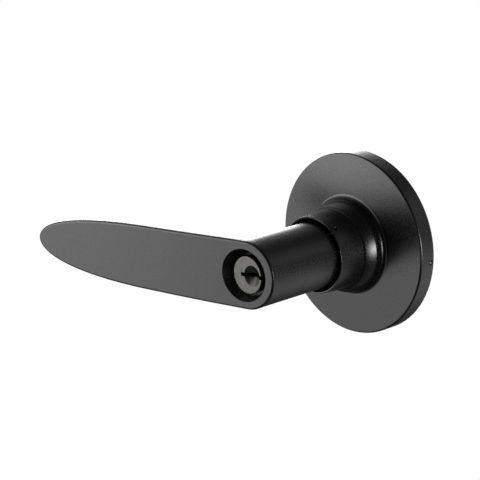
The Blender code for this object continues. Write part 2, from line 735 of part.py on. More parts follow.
def make_rotor(spring_leg_angle):
    """The plate that turns with the tube, winds the spring and runs between the cage's stops."""
    rotor = ring(
        "spring_rotor", ROTOR_RADIUS, TUBE_OUTER + GAP, ROTOR_BACK, ROTOR_FRONT, LEVER_AXIS, ZINC_PLATE
    )
    lug = block(
        "rotor_lug",
        (-ROTOR_LUG_RADIUS, -ROTOR_LUG_WIDTH / 2, ROTOR_BACK),
        (-ROTOR_RADIUS + ROTOR_LUG_OVERLAP, ROTOR_LUG_WIDTH / 2, ROTOR_FRONT),
        LEVER_AXIS,
    )
    leg_hole = rod(
        "rotor_leg_hole_cutter", SPRING_HOLE_RADIUS, ROTOR_BACK - OVERSHOOT, ROTOR_FRONT + OVERSHOOT,
        LEVER_AXIS, segments=TINY_ROUND, matrix=at(SPRING_RADIUS, spring_leg_angle),
    )
    join(rotor, lug)
    cut(rotor, leg_hole)


def make_retaining_ring():
    front = PLATE_BACK - GAP
    clip = ring(
        "spindle_retaining_ring", RING_RADIUS, RING_GROOVE_RADIUS + GAP, front - RING_THICKNESS, front,
        LEVER_AXIS, SPRING_STEEL,
    )
    half = RING_RADIUS * math.sin(math.radians(RING_OPENING / 2))
    opening = block(
        "ring_opening_cutter",
        (0, -half, -OVERSHOOT),
        (2 * RING_RADIUS, half, OVERSHOOT),
        LEVER_AXIS, matrix=spin(90),
    )
    cut(clip, opening)


def pin_depths():
    return [FIRST_PIN_DEPTH + PIN_PITCH * index for index in range(PIN_COUNT)]


def chamber_cutters():
    """One radial bore for each pin stack, from the plug's keyway out through the pin housing."""
    cutters = []
    for index, depth in enumerate(pin_depths()):
        cutters.append(rod(
            f"chamber_cutter_{index + 1}", CHAMBER_RADIUS, CHAMBER_FLOOR, HOUSING_REACH + OVERSHOOT,
            LEVER_AXIS, segments=TINY_ROUND, matrix=radial(180, depth),
        ))
    return cutters


def make_cylinder_shell(chambers):
    profile = [(0, SHELL_FRONT), (SHELL_RADIUS, SHELL_FRONT), (SHELL_RADIUS, SHELL_BACK), (0, SHELL_BACK)]
    shell = bake(turn("cylinder_shell", profile, LEVER_AXIS, BRASS, closed=False))
    housing = block(
        "pin_housing",
        (-HOUSING_REACH, -HOUSING_WIDTH / 2, HOUSING_BACK),
        (0, HOUSING_WIDTH / 2, HOUSING_FRONT),
        LEVER_AXIS,
    )
    plug_bore = rod(
        "plug_bore_cutter", SHELL_BORE, SHELL_BACK - OVERSHOOT, SHELL_FRONT + OVERSHOOT,
        LEVER_AXIS, segments=MEDIUM_ROUND,
    )
    join(shell, housing)
    cut(shell, plug_bore, *chambers, solver="MANIFOLD")
    cover_back = HOUSING_REACH + GAP
    block(
        "pin_chamber_cover",
        (-cover_back - HOUSING_COVER_SHEET, -HOUSING_WIDTH / 2, HOUSING_BACK),
        (-cover_back, HOUSING_WIDTH / 2, HOUSING_FRONT),
        LEVER_AXIS, BRASS,
    )


def make_driver_pins_and_springs():
    steps = PIN_SPRING_STEPS_PER_TURN * PIN_SPRING_TURNS
    driver_inner = (PLUG_RADIUS + SHELL_BORE) / 2 + PIN_GAP
    driver_outer = driver_inner + DRIVER_LENGTH
    spring_inner = driver_outer + PIN_SPRING_WIRE + GAP
    spring_outer = HOUSING_REACH - PIN_SPRING_WIRE
    for index, depth in enumerate(pin_depths()):
        pin = rod(
            f"driver_pin_{index + 1}", PIN_RADIUS, driver_inner, driver_outer,
            LEVER_AXIS, BRASS, TINY_ROUND, matrix=radial(180, depth),
        )
        bake(pin)
        points = []
        for step in range(steps + 1):
            angle = 2 * math.pi * PIN_SPRING_TURNS * step / steps
            reach = spring_inner + (spring_outer - spring_inner) * step / steps
            points.append((PIN_SPRING_RADIUS * math.cos(angle), PIN_SPRING_RADIUS * math.sin(angle), reach))
        spring = wire(f"pin_spring_{index + 1}", points, PIN_SPRING_WIRE, LEVER_AXIS, SPRING_STEEL, 0)
        spring.matrix_local = radial(180, depth)


def make_catch_spring():
    """An open ring of strip inside the tube. It bears on the tube opposite and presses the catch out."""
    spring = ring(
        "catch_spring", CATCH_SPRING_RADIUS, CATCH_SPRING_RADIUS - CATCH_SPRING_SHEET,
        -CATCH_SPRING_WIDTH / 2, CATCH_SPRING_WIDTH / 2, CATCH_AXIS, SPRING_STEEL,
    )
    half = CATCH_SPRING_RADIUS * math.sin(math.radians(CATCH_SPRING_OPENING / 2))
    opening = block(
        "catch_spring_opening_cutter",
        (-2 * CATCH_SPRING_RADIUS, -half, -CATCH_SPRING_WIDTH),
        (0, half, CATCH_SPRING_WIDTH),
        CATCH_AXIS,
    )
    cut(spring, opening)
    spring.location.x = -CATCH_SPRING_SHIFT


def make_lever_catch():
    profile = [
        (0, CATCH_OUTER),
        (CATCH_RADIUS - CATCH_CHAMFER, CATCH_OUTER),
        (CATCH_RADIUS, CATCH_OUTER - CATCH_CHAMFER),
        (CATCH_RADIUS, CATCH_HEAD_OUTER),
        (CATCH_HEAD_RADIUS, CATCH_HEAD_OUTER),
        (CATCH_HEAD_RADIUS, CATCH_HEAD_OUTER - CATCH_HEAD_THICKNESS),
        (0, CATCH_HEAD_OUTER - CATCH_HEAD_THICKNESS),
    ]
    catch = turn("lever_catch", profile, CATCH_AXIS, SPRING_STEEL, SMALL_ROUND, closed=False)
    catch.matrix_local = radial(0, 0)
    bake(catch)


# ---------------------------------------------------------------- pieces that turn with the key


def make_cylinder_plug(chambers):
    """The plug, with a wide head in the lever's face, the key guide, the keyway and the pin bores."""
    profile = [
        (0, PLUG_FACE_DEPTH),
        (PLUG_HEAD_RADIUS, PLUG_FACE_DEPTH),
        (PLUG_HEAD_RADIUS, PLUG_HEAD_BACK),
        (PLUG_RADIUS, PLUG_HEAD_BACK),
        (PLUG_RADIUS, PLUG_BACK),
        (PLUG_STUB_RADIUS, PLUG_BACK),
        (PLUG_STUB_RADIUS, PLUG_STUB_BACK),
        (0, PLUG_STUB_BACK),
    ]
    plug = bake(turn("cylinder_plug", profile, PLUG_AXIS, SATIN_NICKEL, closed=False))
    guide_slope = KEY_GUIDE_RADIUS / KEY_GUIDE_DEPTH
    guide_profile = [
        (0, PLUG_FACE_DEPTH + KEY_GUIDE_DEPTH),
        (KEY_GUIDE_RADIUS + guide_slope * KEY_GUIDE_DEPTH, PLUG_FACE_DEPTH + KEY_GUIDE_DEPTH),
        (0, PLUG_FACE_DEPTH - KEY_GUIDE_DEPTH),
    ]
    guide = turn("key_guide_cutter", guide_profile, PLUG_AXIS, segments=MEDIUM_ROUND, closed=False)
    guide.location.x = KEY_GUIDE_OFFSET
    bake(guide)
    keyway = block(
        "keyway_cutter",
        (-KEYWAY_BITTING_SIDE, -KEYWAY_WIDTH / 2, KEYWAY_BACK),
        (2 * PLUG_HEAD_RADIUS, KEYWAY_WIDTH / 2, PLUG_FACE_DEPTH + OVERSHOOT),
        PLUG_AXIS,
    )
    cut(plug, guide, keyway, *chambers)


def make_key_pins():
    outer = PLUG_RADIUS - PIN_GAP
    for index, (depth, extra_length) in enumerate(zip(pin_depths(), KEY_PIN_EXTRA_LENGTHS)):
        inner = outer - KEY_PIN_LENGTH - extra_length
        profile = [
            (0, outer),
            (PIN_RADIUS, outer),
            (PIN_RADIUS, inner + KEY_PIN_TIP),
            (PIN_RADIUS / 2, inner),
            (0, inner),
        ]
        pin = turn(f"key_pin_{index + 1}", profile, PLUG_AXIS, BRASS, TINY_ROUND, closed=False)
        pin.matrix_local = radial(180, depth)
        bake(pin)


def make_plug_cap_and_tailpiece():
    ring(
        "plug_retaining_cap", CAP_RADIUS, PLUG_STUB_RADIUS + GAP, CAP_BACK, PLUG_BACK - GAP,
        PLUG_AXIS, BRASS, SMALL_ROUND,
    )
    flange_front = PLUG_STUB_BACK - GAP
    tailpiece = rod(
        "tailpiece", PLUG_STUB_RADIUS, flange_front - TAILPIECE_FLANGE_THICKNESS, flange_front,
        PLUG_AXIS, SPRING_STEEL,
    )
    strip = block(
        "tailpiece_strip",
        (-TAILPIECE_WIDTH / 2, -TAILPIECE_THICKNESS / 2, TAILPIECE_BACK),
        (TAILPIECE_WIDTH / 2, TAILPIECE_THICKNESS / 2, flange_front - TAILPIECE_FLANGE_THICKNESS / 2),
        PLUG_AXIS,
    )
    join(tailpiece, strip)


def main():
    make_rose_cover()
    make_mounting_plate()
    make_posts()
    make_spring_cage()
    make_cage_screws()
    make_rose_clips()
    make_bearings()
    spring_leg_angle = make_return_spring()
    make_lever_handle()
    make_drive_tube()
    make_rotor(spring_leg_angle)
    make_retaining_ring()
    chambers = chamber_cutters()
    make_cylinder_shell(chambers)
    make_driver_pins_and_springs()
    make_catch_spring()
    make_lever_catch()
    make_cylinder_plug(chambers)
    make_key_pins()
    make_plug_cap_and_tailpiece()


main()
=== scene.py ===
"""Looks for the outside trim of a key-in-lever lockset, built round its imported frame.

Every fine piece is modelled in the lock's axis frame, in metres: x runs across the door, y runs up,
and z runs out of the door from its face. AXIS places that frame in the frame that the lock's solids
share. The pieces that can be seen are modelled afresh here, and the others keep their solids and get
a finish.
"""

import json
import math

import bmesh
import bpy
from mathutils import Matrix, Vector


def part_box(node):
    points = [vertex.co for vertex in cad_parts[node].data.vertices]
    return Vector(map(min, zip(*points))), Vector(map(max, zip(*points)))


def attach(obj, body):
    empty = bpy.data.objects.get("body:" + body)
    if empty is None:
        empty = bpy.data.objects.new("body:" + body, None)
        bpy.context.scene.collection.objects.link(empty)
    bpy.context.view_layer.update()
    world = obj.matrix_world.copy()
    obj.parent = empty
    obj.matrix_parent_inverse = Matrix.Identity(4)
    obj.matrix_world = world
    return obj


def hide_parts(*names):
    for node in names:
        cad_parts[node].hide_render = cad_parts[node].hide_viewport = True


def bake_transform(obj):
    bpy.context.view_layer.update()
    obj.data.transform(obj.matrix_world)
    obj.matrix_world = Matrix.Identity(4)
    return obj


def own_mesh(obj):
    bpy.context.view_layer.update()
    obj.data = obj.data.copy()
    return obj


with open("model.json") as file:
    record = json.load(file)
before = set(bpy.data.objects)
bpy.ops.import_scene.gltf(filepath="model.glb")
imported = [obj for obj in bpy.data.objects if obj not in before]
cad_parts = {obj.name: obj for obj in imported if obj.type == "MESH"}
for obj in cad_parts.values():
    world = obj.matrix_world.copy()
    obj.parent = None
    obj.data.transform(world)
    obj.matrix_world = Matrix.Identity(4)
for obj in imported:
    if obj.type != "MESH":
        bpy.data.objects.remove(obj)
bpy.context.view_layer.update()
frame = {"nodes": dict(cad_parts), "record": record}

MM = 0.001

# How many sides a full round gets: the large pieces, the bores, and the small pieces.
FINE_ROUND = 192
BORE_ROUND = 96
SMALL_ROUND = 48

# Steps of a small edge's round, and how far a cutter runs past the surface that it cuts.
EDGE_STEPS = 4
LIP_STEPS = 6
CUT_PAST = 5 * MM

# Angles in degrees: edges sharper than the first stay sharp, faces closer than the second are one face.
SHARP_ANGLE = 30
FLAT_ANGLE = 0.04
SLIVER_WIDTH = 0.002 * MM
MERGE_WIDTH = 0.001 * MM
SCREW_MERGE_WIDTH = 0.005 * MM
FLAT_FACE_WEIGHT = 100


# ---------------------------------------------------------------- sizes taken from the frame


def reach_of(node):
    """A round node's (radius, back depth, front depth)."""
    low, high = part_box(node)
    return (high.z - low.z) / 2, -high.y, -low.y


def height_of_axis():
    """How high the lever's axis runs: through the middle of the round rose."""
    low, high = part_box("rose_cover")
    return (low.z + high.z) / 2


AXIS_POINT = Vector((0, 0, height_of_axis()))
AXIS = Matrix.Translation(AXIS_POINT) @ Matrix.Rotation(math.radians(90), 4, "X")
ROSE_RADIUS, _, COLLAR_DEPTH = reach_of("rose_cover")
PLATE_RADIUS, PLATE_BACK, PLATE_FRONT = reach_of("mounting_plate")
TUBE_OUTER, TUBE_BACK, TUBE_FRONT = reach_of("drive_tube")
RING_RADIUS, RING_BACK, RING_FRONT = reach_of("spindle_retaining_ring")
PLUG_HEAD_RADIUS, PLUG_BACK, PLUG_FACE_DEPTH = reach_of("cylinder_plug")
BLADE_HALF_HEIGHT, NECK_BACK, _ = reach_of("lever_handle")
BLADE_LENGTH = -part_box("lever_handle")[0].x
NECK_RADIUS = reach_of("thrust_washer")[0]


# ---------------------------------------------------------------- sizes of the fine shapes

# Rose.
ROSE_SHEET = 1.0 * MM
ROSE_RIM_DEPTH = 9.1 * MM
ROSE_EDGE_ROUND = 1.0 * MM
ROSE_EDGE_ANGLE = 86
ROSE_EDGE_STEPS = 8
ROSE_FACE_INNER_DEPTH = 10.75 * MM
# Arcs from the collar's foot out to the shoulder's upright wall: radius, first angle, last angle.
SHOULDER_ARCS = [(3.0 * MM, 55, 30), (22.0 * MM, 30, 17), (2.0 * MM, 17, 0)]
SHOULDER_STEPS = 14
SHOULDER_FOOT_ROUND = 2.2 * MM
SHOULDER_FOOT_ANGLE = 265
SHOULDER_FOOT_STEPS = 24
COLLAR_FOOT_RADIUS = 19.7 * MM
COLLAR_FOOT_DEPTH = 21.7 * MM
COLLAR_LIP_RADIUS = 18.8 * MM
LIP_ROUND = 0.3 * MM
RIM_BACK_ROUND = 0.25 * MM
RELEASE_HOLE_RADIUS = 1.1 * MM
RELEASE_HOLE_CHAMFER = 0.08 * MM
RELEASE_HOLE_DEPTH = 33.2 * MM
RELEASE_HOLE_ANGLE = 48
PRY_DENT_BALL = 2.0 * MM
PRY_DENT_SINK = 0.6 * MM
PRY_DENT_DEPTH = 2.3 * MM
PRY_DENT_ANGLE = -5

# Lever.
FACE_DEPTH = 81.4 * MM
FACE_SLOPE = 0.11
BLADE_THICKNESS = 4.8 * MM
BLADE_TAPER_START = 62.0 * MM
BLADE_TAPER_HALF_HEIGHT = 15.7 * MM
BLADE_TAPER_SLANT = 0.013
BLADE_SHOULDER_REACH = 38.0 * MM
BLADE_TIP_FULLNESS = 10.5 * MM
BLADE_EDGE_ROUND = 1.2 * MM
BLADE_EDGE_STEPS = 5
BLADE_CURVE_STEPS = 64
BOW_START = 10.0 * MM
BOW_RISE = 0.0156
BOW_RADIUS = 1530.0 * MM
BOW_PIECES = 66
WEB_ROUND = 12.0 * MM
WEB_STEPS = 40
WEB_INSET = 0.15 * MM
SOCKET_RADIUS = 14.2 * MM
SOCKET_DEPTH = 46.4 * MM
FRONT_BORE_RADIUS = 10.3 * MM
FRONT_BORE_BACK = 74.0 * MM
SHELL_CLEARANCE_RADIUS = 8.5 * MM
RECESS_DEPTH = 78.1 * MM
RECESS_TAPER = 0.7
POCKET_CLEARANCE = 0.6 * MM
# A Bezier handle's length for a quarter circle, as a part of its radius.
CIRCLE_HANDLE = 4 / 3 * math.tan(math.pi / 8)

# Plug.
PLUG_RADIUS = 6.35 * MM
PLUG_SHOULDER_DEPTH = 46.8 * MM
PLUG_STUB_RADIUS = 4.5 * MM
PLUG_HEAD_BACK = 74.3 * MM
PLUG_EDGE_ROUND = 0.35 * MM
PLUG_EDGE_STEPS = 5
KEYWAY_WIDTH = 1.85 * MM
KEYWAY_BITTING_SIDE = 4.2 * MM
KEYWAY_BACK = 50.4 * MM
KEY_GUIDE_OFFSET = 3.0 * MM
KEY_GUIDE_RADIUS = 5.0 * MM
KEY_GUIDE_DEPTH = 3.4 * MM

# Mounting plate, bolt posts, and the spindle's end.
SHEET_EDGE_ROUND = 0.25 * MM
CLEARANCE = 0.3 * MM
POST_CIRCLE = 35.0 * MM
POST_ANGLES = (90, 270)
POST_RADIUS = 3.0 * MM
POST_STEM_RADIUS = 2.5 * MM
POST_HEAD_RADIUS = 3.8 * MM
POST_HEAD_THICKNESS = 1.6 * MM
POST_THREAD_RADIUS = 1.7 * MM
POST_THREAD_FRONT = -3.0 * MM
THREAD_PITCH = 0.7 * MM
THREAD_HEIGHT = 0.35 * MM
CAGE_SCREW_CIRCLE = 27.2 * MM
CAGE_SCREW_ANGLES = (0, 120, 240)
CAGE_SCREW_RADIUS = 1.3 * MM
SPRING_LEG_HOLE_RADIUS = 1.3 * MM
TUBE_INNER = 12.6 * MM
TUBE_SLOT_WIDTH = 7.0 * MM
TUBE_SLOT_LENGTH = 6.0 * MM
RING_GROOVE_RADIUS = 13.2 * MM
RING_OPENING = 40
TAILPIECE_FLANGE_THICKNESS = 1.2 * MM
TAILPIECE_WIDTH = 5.0 * MM
TAILPIECE_THICKNESS = 1.2 * MM
TAILPIECE_POINT = 0.8 * MM
STRIP_EDGE_ROUND = 0.15 * MM
STRIP_EDGE_STEPS = 3

# Springs.
RETURN_SPRING_RADIUS = 19.0 * MM
RETURN_SPRING_WIRE = 0.7 * MM
RETURN_SPRING_LOW = 3.7 * MM
RETURN_SPRING_HIGH = 5.3 * MM
RETURN_SPRING_TURNS = 1.25
RETURN_SPRING_START = 45
RETURN_SPRING_STEPS = 96
PIN_SPRING_RADIUS = 0.85 * MM
PIN_SPRING_WIRE = 0.18 * MM
PIN_SPRING_TURNS = 5
PIN_SPRING_STEPS = 20
WIRE_ROUND_STEPS = 4
CATCH_ANGLE = RELEASE_HOLE_ANGLE
CATCH_HEAD_OVERHANG = 0.8 * MM
CATCH_SPRING_RADIUS = 11.5 * MM
CATCH_SPRING_SHEET = 0.4 * MM
CATCH_SPRING_SHIFT = 0.5 * MM
CATCH_SPRING_WIDTH = 4.0 * MM
CATCH_SPRING_OPENING = 80


# ---------------------------------------------------------------- modelling helpers


def new_object(name, mesh):
    obj = bpy.data.objects.new(name, mesh)
    bpy.context.scene.collection.objects.link(obj)
    return obj


def evaluated_mesh(obj):
    graph = bpy.context.evaluated_depsgraph_get()
    return bpy.data.meshes.new_from_object(obj.evaluated_get(graph), depsgraph=graph)


def bake(obj):
    """Turns the object's modifiers into its mesh."""
    mesh = evaluated_mesh(obj)
    obj.modifiers.clear()
    obj.data = mesh
    return obj


def arc(centre_r, centre_z, radius, start, end, steps):
    """Points (radius from the axis, depth) along an arc, with angles in degrees from straight out."""
    points = []
    for step in range(steps + 1):
        angle = math.radians(start + (end - start) * step / steps)
        points.append((centre_r + radius * math.cos(angle), centre_z + radius * math.sin(angle)))
    return points


def turned(name, profile, segments=FINE_ROUND, closed=True):
    """A profile of (radius, depth) points spun round z. It runs down its outer side first."""
    mesh = bpy.data.meshes.new(name)
    last = len(profile) - 1
    edges = [(i, i + 1) for i in range(last)]
    if closed:
        edges.append((last, 0))
    mesh.from_pydata([(r, 0, z) for r, z in profile], edges, [])
    obj = new_object(name, mesh)
    screw = obj.modifiers.new("turn", "SCREW")
    screw.axis = "Z"
    screw.steps = segments
    screw.render_steps = segments
    screw.use_merge_vertices = True
    screw.merge_threshold = SCREW_MERGE_WIDTH
    return bake(obj)


def block(name, low, high):
    """A box between two corners."""
    mesh = bpy.data.meshes.new(name)
    form = bmesh.new()
    bmesh.ops.create_cube(form, size=1)
    bmesh.ops.scale(form, verts=form.verts, vec=[b - a for a, b in zip(low, high)])
    bmesh.ops.translate(form, verts=form.verts, vec=[(a + b) / 2 for a, b in zip(low, high)])
    form.to_mesh(mesh)
    form.free()
    return new_object(name, mesh)


def spin(angle):
    """A turn round the axis, in degrees."""
    return Matrix.Rotation(math.radians(angle), 4, "Z")


def radial(angle, depth):
    """The placing of a radial piece: its z points away from the axis at this angle and depth."""
    return Matrix.Translation((0, 0, depth)) @ spin(angle) @ Matrix.Rotation(math.radians(90), 4, "Y")


def at(radius, angle):
    """The placing of a piece parallel to the axis, at this radius and angle."""
    return spin(angle) @ Matrix.Translation((radius, 0, 0))


def rejoin_flat_faces(obj):
    """Clears the slivers that a Boolean leaves and joins its triangles, so that flats shade flat."""
    form = bmesh.new()
    form.from_mesh(obj.data)
    bmesh.ops.dissolve_degenerate(form, dist=SLIVER_WIDTH, edges=form.edges[:])
    flat = math.radians(FLAT_ANGLE)
    bmesh.ops.dissolve_limit(form, angle_limit=flat, verts=form.verts[:], edges=form.edges[:])
    form.to_mesh(obj.data)
    form.free()


def combine(obj, operation, others):
    """A Boolean of obj with each other object, which is then removed."""
    for other in others:
        modifier = obj.modifiers.new(operation.lower(), "BOOLEAN")
        modifier.operation = operation
        modifier.solver = "MANIFOLD"
        modifier.object = other
    bake(obj)
    rejoin_flat_faces(obj)
    for other in others:
        bpy.data.objects.remove(other)
    return obj


def cut(obj, *cutters):
    return combine(obj, "DIFFERENCE", cutters)


def join(obj, *others):
    return combine(obj, "UNION", others)


def shade(obj, angle=SHARP_ANGLE):
    """Smooth shading that keeps sharp edges sharp and flat faces flat."""
    obj.data.shade_smooth()
    obj.data.set_sharp_from_angle(angle=math.radians(angle))
    weighting = obj.modifiers.new("weighted_normals", "WEIGHTED_NORMAL")
    weighting.keep_sharp = True
    weighting.weight = FLAT_FACE_WEIGHT
    return obj


def place(obj, body, slot, *nodes):
    """Puts a finished piece on the axis, on its body, in place of its CAD nodes."""
    shade(obj)
    obj.matrix_world = AXIS @ obj.matrix_world
    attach(obj, body)
    if nodes:
        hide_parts(*nodes)
    return obj


def mesh_of_curve(curve):
    """The curve's surface as a mesh with its caps welded on."""
    guide = new_object(curve.name + "_path", curve)
    mesh = evaluated_mesh(guide)
    bpy.data.objects.remove(guide)
    form = bmesh.new()
    form.from_mesh(mesh)
    bmesh.ops.remove_doubles(form, verts=form.verts, dist=MERGE_WIDTH)
    bmesh.ops.recalc_face_normals(form, faces=form.faces)
    form.to_mesh(mesh)
    form.free()
    mesh.materials.clear()
    return mesh


# ---------------------------------------------------------------- materials


# Each finish drifts between two colours.
COAT_COLOURS = (0.005, 0.005, 0.0049), (0.008, 0.008, 0.0077)
COAT_WORN_COLOUR = (0.016, 0.016, 0.0155)
NICKEL_COLOURS = (0.085, 0.084, 0.078), (0.11, 0.109, 0.102)
BRASS_COLOURS = (0.72, 0.5, 0.2), (0.52, 0.34, 0.14)
ZINC_COLOURS = (0.52, 0.54, 0.56), (0.66, 0.67, 0.68)
STEEL_COLOURS = (0.3, 0.3, 0.31), (0.44, 0.43, 0.42)
NYLON_COLOURS = (0.78, 0.77, 0.72), (0.85, 0.84, 0.8)

COAT_IOR = 1.6
ZINC_CRYSTAL = 3.5 * MM
NYLON_SUBSURFACE = 0.15
NYLON_DEPTH = 1.0 * MM


class Finish:
    """A material's node tree, with short calls for the nodes that the finishes share."""

    def __init__(self, name, metallic):
        self.material = bpy.data.materials.new(name)
        self.material.use_nodes = True
        self.tree = self.material.node_tree
        self.shader = self.tree.nodes["Principled BSDF"]
        self.shader.inputs["Metallic"].default_value = metallic
        coordinates = self.tree.nodes.new("ShaderNodeTexCoord")
        self.place = coordinates.outputs["Object"]

    def link(self, source, target):
        self.tree.links.new(source, target)

    def noise(self, size, detail=3.0, stretch=(1, 1, 1)):
        """Noise whose features are about this size, stretched along x, y and z."""
        mapping = self.tree.nodes.new("ShaderNodeMapping")
        mapping.inputs["Scale"].default_value = [1 / s for s in stretch]
        self.link(self.place, mapping.inputs["Vector"])
        node = self.tree.nodes.new("ShaderNodeTexNoise")
        node.inputs["Scale"].default_value = 1 / size
        node.inputs["Detail"].default_value = detail
        self.link(mapping.outputs["Vector"], node.inputs["Vector"])
        return node.outputs["Fac"]

    def rings(self, spacing, wobble):
        """Fine rings round the axis, as a lathe tool leaves them."""
        node = self.tree.nodes.new("ShaderNodeTexWave")
        node.wave_type = "RINGS"
        node.rings_direction = "Z"
        node.inputs["Scale"].default_value = 0.5 / spacing
        node.inputs["Distortion"].default_value = wobble
        node.inputs["Detail"].default_value = 2.0
        self.link(self.place, node.inputs["Vector"])
        return node.outputs["Fac"]

    def fit(self, value, low, high, from_low=0.3, from_high=0.7):
        """A value stretched onto low to high. Noise mostly stays between 0.3 and 0.7."""
        node = self.tree.nodes.new("ShaderNodeMapRange")
        node.inputs["From Min"].default_value = from_low
        node.inputs["From Max"].default_value = from_high
        node.inputs["To Min"].default_value = low
        node.inputs["To Max"].default_value = high
        self.link(value, node.inputs["Value"])
        return node.outputs["Result"]

    def mix(self, amount, first, second):
        """A colour between first and second, each a colour or another node's output."""
        node = self.tree.nodes.new("ShaderNodeMix")
        node.data_type = "RGBA"
        self.link(amount, node.inputs["Factor"])
        for colour, socket in ((first, node.inputs[6]), (second, node.inputs[7])):
            if isinstance(colour, tuple):
                socket.default_value = (*colour, 1)
            else:
                self.link(colour, socket)
        return node.outputs[2]

    def edges(self, low, high):
        """1 on worn convex edges, 0 on flat and hollow surface."""
        geometry = self.tree.nodes.new("ShaderNodeNewGeometry")
        return self.fit(geometry.outputs["Pointiness"], 0.0, 1.0, low, high)

    def bump(self, height, distance, strength=1.0, after=None):
        """A surface normal raised by height, on top of another bump's normal if there is one."""
        node = self.tree.nodes.new("ShaderNodeBump")
        node.inputs["Distance"].default_value = distance
        node.inputs["Strength"].default_value = strength
        self.link(height, node.inputs["Height"])
        if after:
            self.link(after, node.inputs["Normal"])
        return node.outputs["Normal"]

    def mottle(self, first, second, size, detail=3.0):
        """A colour that drifts between two, in patches of about this size."""
        return self.mix(self.fit(self.noise(size, detail), 0, 1), first, second)

    def colour(self, value):
        self.link(value, self.shader.inputs["Base Color"])

    def roughness(self, low, high, size, detail):
        """Roughness that drifts between low and high, in patches of about this size."""
        self.link(self.fit(self.noise(size, detail), low, high), self.shader.inputs["Roughness"])

    def normal(self, value):
        self.link(value, self.shader.inputs["Normal"])


def powder_coat():
    """Satin black powder coat: a fine grain over a faint orange peel, thinner and paler on sharp edges."""
    finish = Finish("black_coat", metallic=0.0)
    finish.shader.inputs["IOR"].default_value = COAT_IOR
    coat = finish.mottle(*COAT_COLOURS, size=9 * MM)
    worn = finish.edges(low=0.56, high=0.7)
    finish.colour(finish.mix(worn, coat, COAT_WORN_COLOUR))
    finish.roughness(low=0.235, high=0.285, size=1.6 * MM, detail=4)
    peel = finish.noise(size=1.1 * MM, detail=2)
    peel = finish.bump(peel, distance=0.008 * MM, strength=0.4)
    grain = finish.noise(size=0.22 * MM, detail=2)
    finish.normal(finish.bump(grain, distance=0.004 * MM, strength=0.4, after=peel))
    return finish.material


def satin_nickel():
    """Dark satin nickel plate over a turned face, with its tool rings and a light haze."""
    finish = Finish("satin_nickel", metallic=1.0)
    finish.colour(finish.mottle(*NICKEL_COLOURS, size=2.5 * MM))
    finish.roughness(low=0.3, high=0.42, size=0.8 * MM, detail=4)
    rings = finish.rings(spacing=0.12 * MM, wobble=0.6)
    rings = finish.bump(rings, distance=0.003 * MM, strength=0.4)
    grain = finish.noise(size=0.3 * MM, detail=3)
    finish.normal(finish.bump(grain, distance=0.004 * MM, strength=0.4, after=rings))
    return finish.material


def brass():
    """Machined brass, browned a little in patches, with turning lines along the axis."""
    finish = Finish("brass", metallic=1.0)
    finish.colour(finish.mottle(*BRASS_COLOURS, size=3 * MM, detail=5))
    finish.roughness(low=0.24, high=0.42, size=0.7 * MM, detail=4)
    lines = finish.noise(size=0.12 * MM, detail=2, stretch=(40, 40, 1))
    finish.normal(finish.bump(lines, distance=0.004 * MM, strength=0.6))
    return finish.material


def zinc_plate():
    """Bright zinc plate on steel sheet, bluish, with faint crystals and drawing lines."""
    finish = Finish("zinc_plate", metallic=1.0)
    crystals = finish.tree.nodes.new("ShaderNodeTexVoronoi")
    crystals.inputs["Scale"].default_value = 1 / ZINC_CRYSTAL
    finish.link(finish.place, crystals.inputs["Vector"])
    shades = finish.fit(crystals.outputs["Distance"], 0, 1, from_low=0.0, from_high=0.9)
    finish.colour(finish.mix(shades, *ZINC_COLOURS))
    finish.roughness(low=0.26, high=0.44, size=1.2 * MM, detail=5)
    lines = finish.noise(size=0.25 * MM, detail=3, stretch=(14, 1, 1))
    lines = finish.bump(lines, distance=0.006 * MM, strength=0.5)
    grain = finish.noise(size=0.5 * MM, detail=3)
    finish.normal(finish.bump(grain, distance=0.008 * MM, strength=0.4, after=lines))
    return finish.material


def spring_steel():
    """Drawn or rolled spring steel: dark, oiled, with fine lines."""
    finish = Finish("spring_steel", metallic=1.0)
    finish.colour(finish.mottle(*STEEL_COLOURS, size=2 * MM, detail=4))
    finish.roughness(low=0.22, high=0.4, size=0.5 * MM, detail=4)
    lines = finish.noise(size=0.15 * MM, detail=2)
    finish.normal(finish.bump(lines, distance=0.004 * MM, strength=0.5))
    return finish.material


def nylon():
    """Moulded nylon, milky, with a soft grain."""
    finish = Finish("nylon", metallic=0.0)
    finish.colour(finish.mottle(*NYLON_COLOURS, size=4 * MM))
    finish.roughness(low=0.42, high=0.58, size=0.9 * MM, detail=3)
    grain = finish.noise(size=0.4 * MM, detail=3)
    finish.normal(finish.bump(grain, distance=0.01 * MM, strength=0.4))
    finish.shader.inputs["Subsurface Weight"].default_value = NYLON_SUBSURFACE
    finish.shader.inputs["Subsurface Scale"].default_value = NYLON_DEPTH
    return finish.material


FINISHES = {
    "black_coat": powder_coat(),
    "satin_nickel": satin_nickel(),
    "brass": brass(),
    "zinc_plate": zinc_plate(),
    "spring_steel": spring_steel(),
    "nylon": nylon(),
}


def paint(obj, slot):
    obj.data.materials.clear()
    obj.data.materials.append(FINISHES[slot])


def finish_cad_nodes():
    """Every CAD node gets its slot's finish, and its facets are smoothed."""
    for subpart in frame["record"]["subparts"]:
        node = frame["nodes"][subpart["node"]]
        for slot in node.material_slots:
            slot.material = FINISHES[subpart["material_slot"]]
        weld = node.modifiers.new("weld", "WELD")
        weld.merge_threshold = MERGE_WIDTH
        smooth = node.modifiers.new("weighted_normals", "WEIGHTED_NORMAL")
        smooth.keep_sharp = True


# ---------------------------------------------------------------- rose


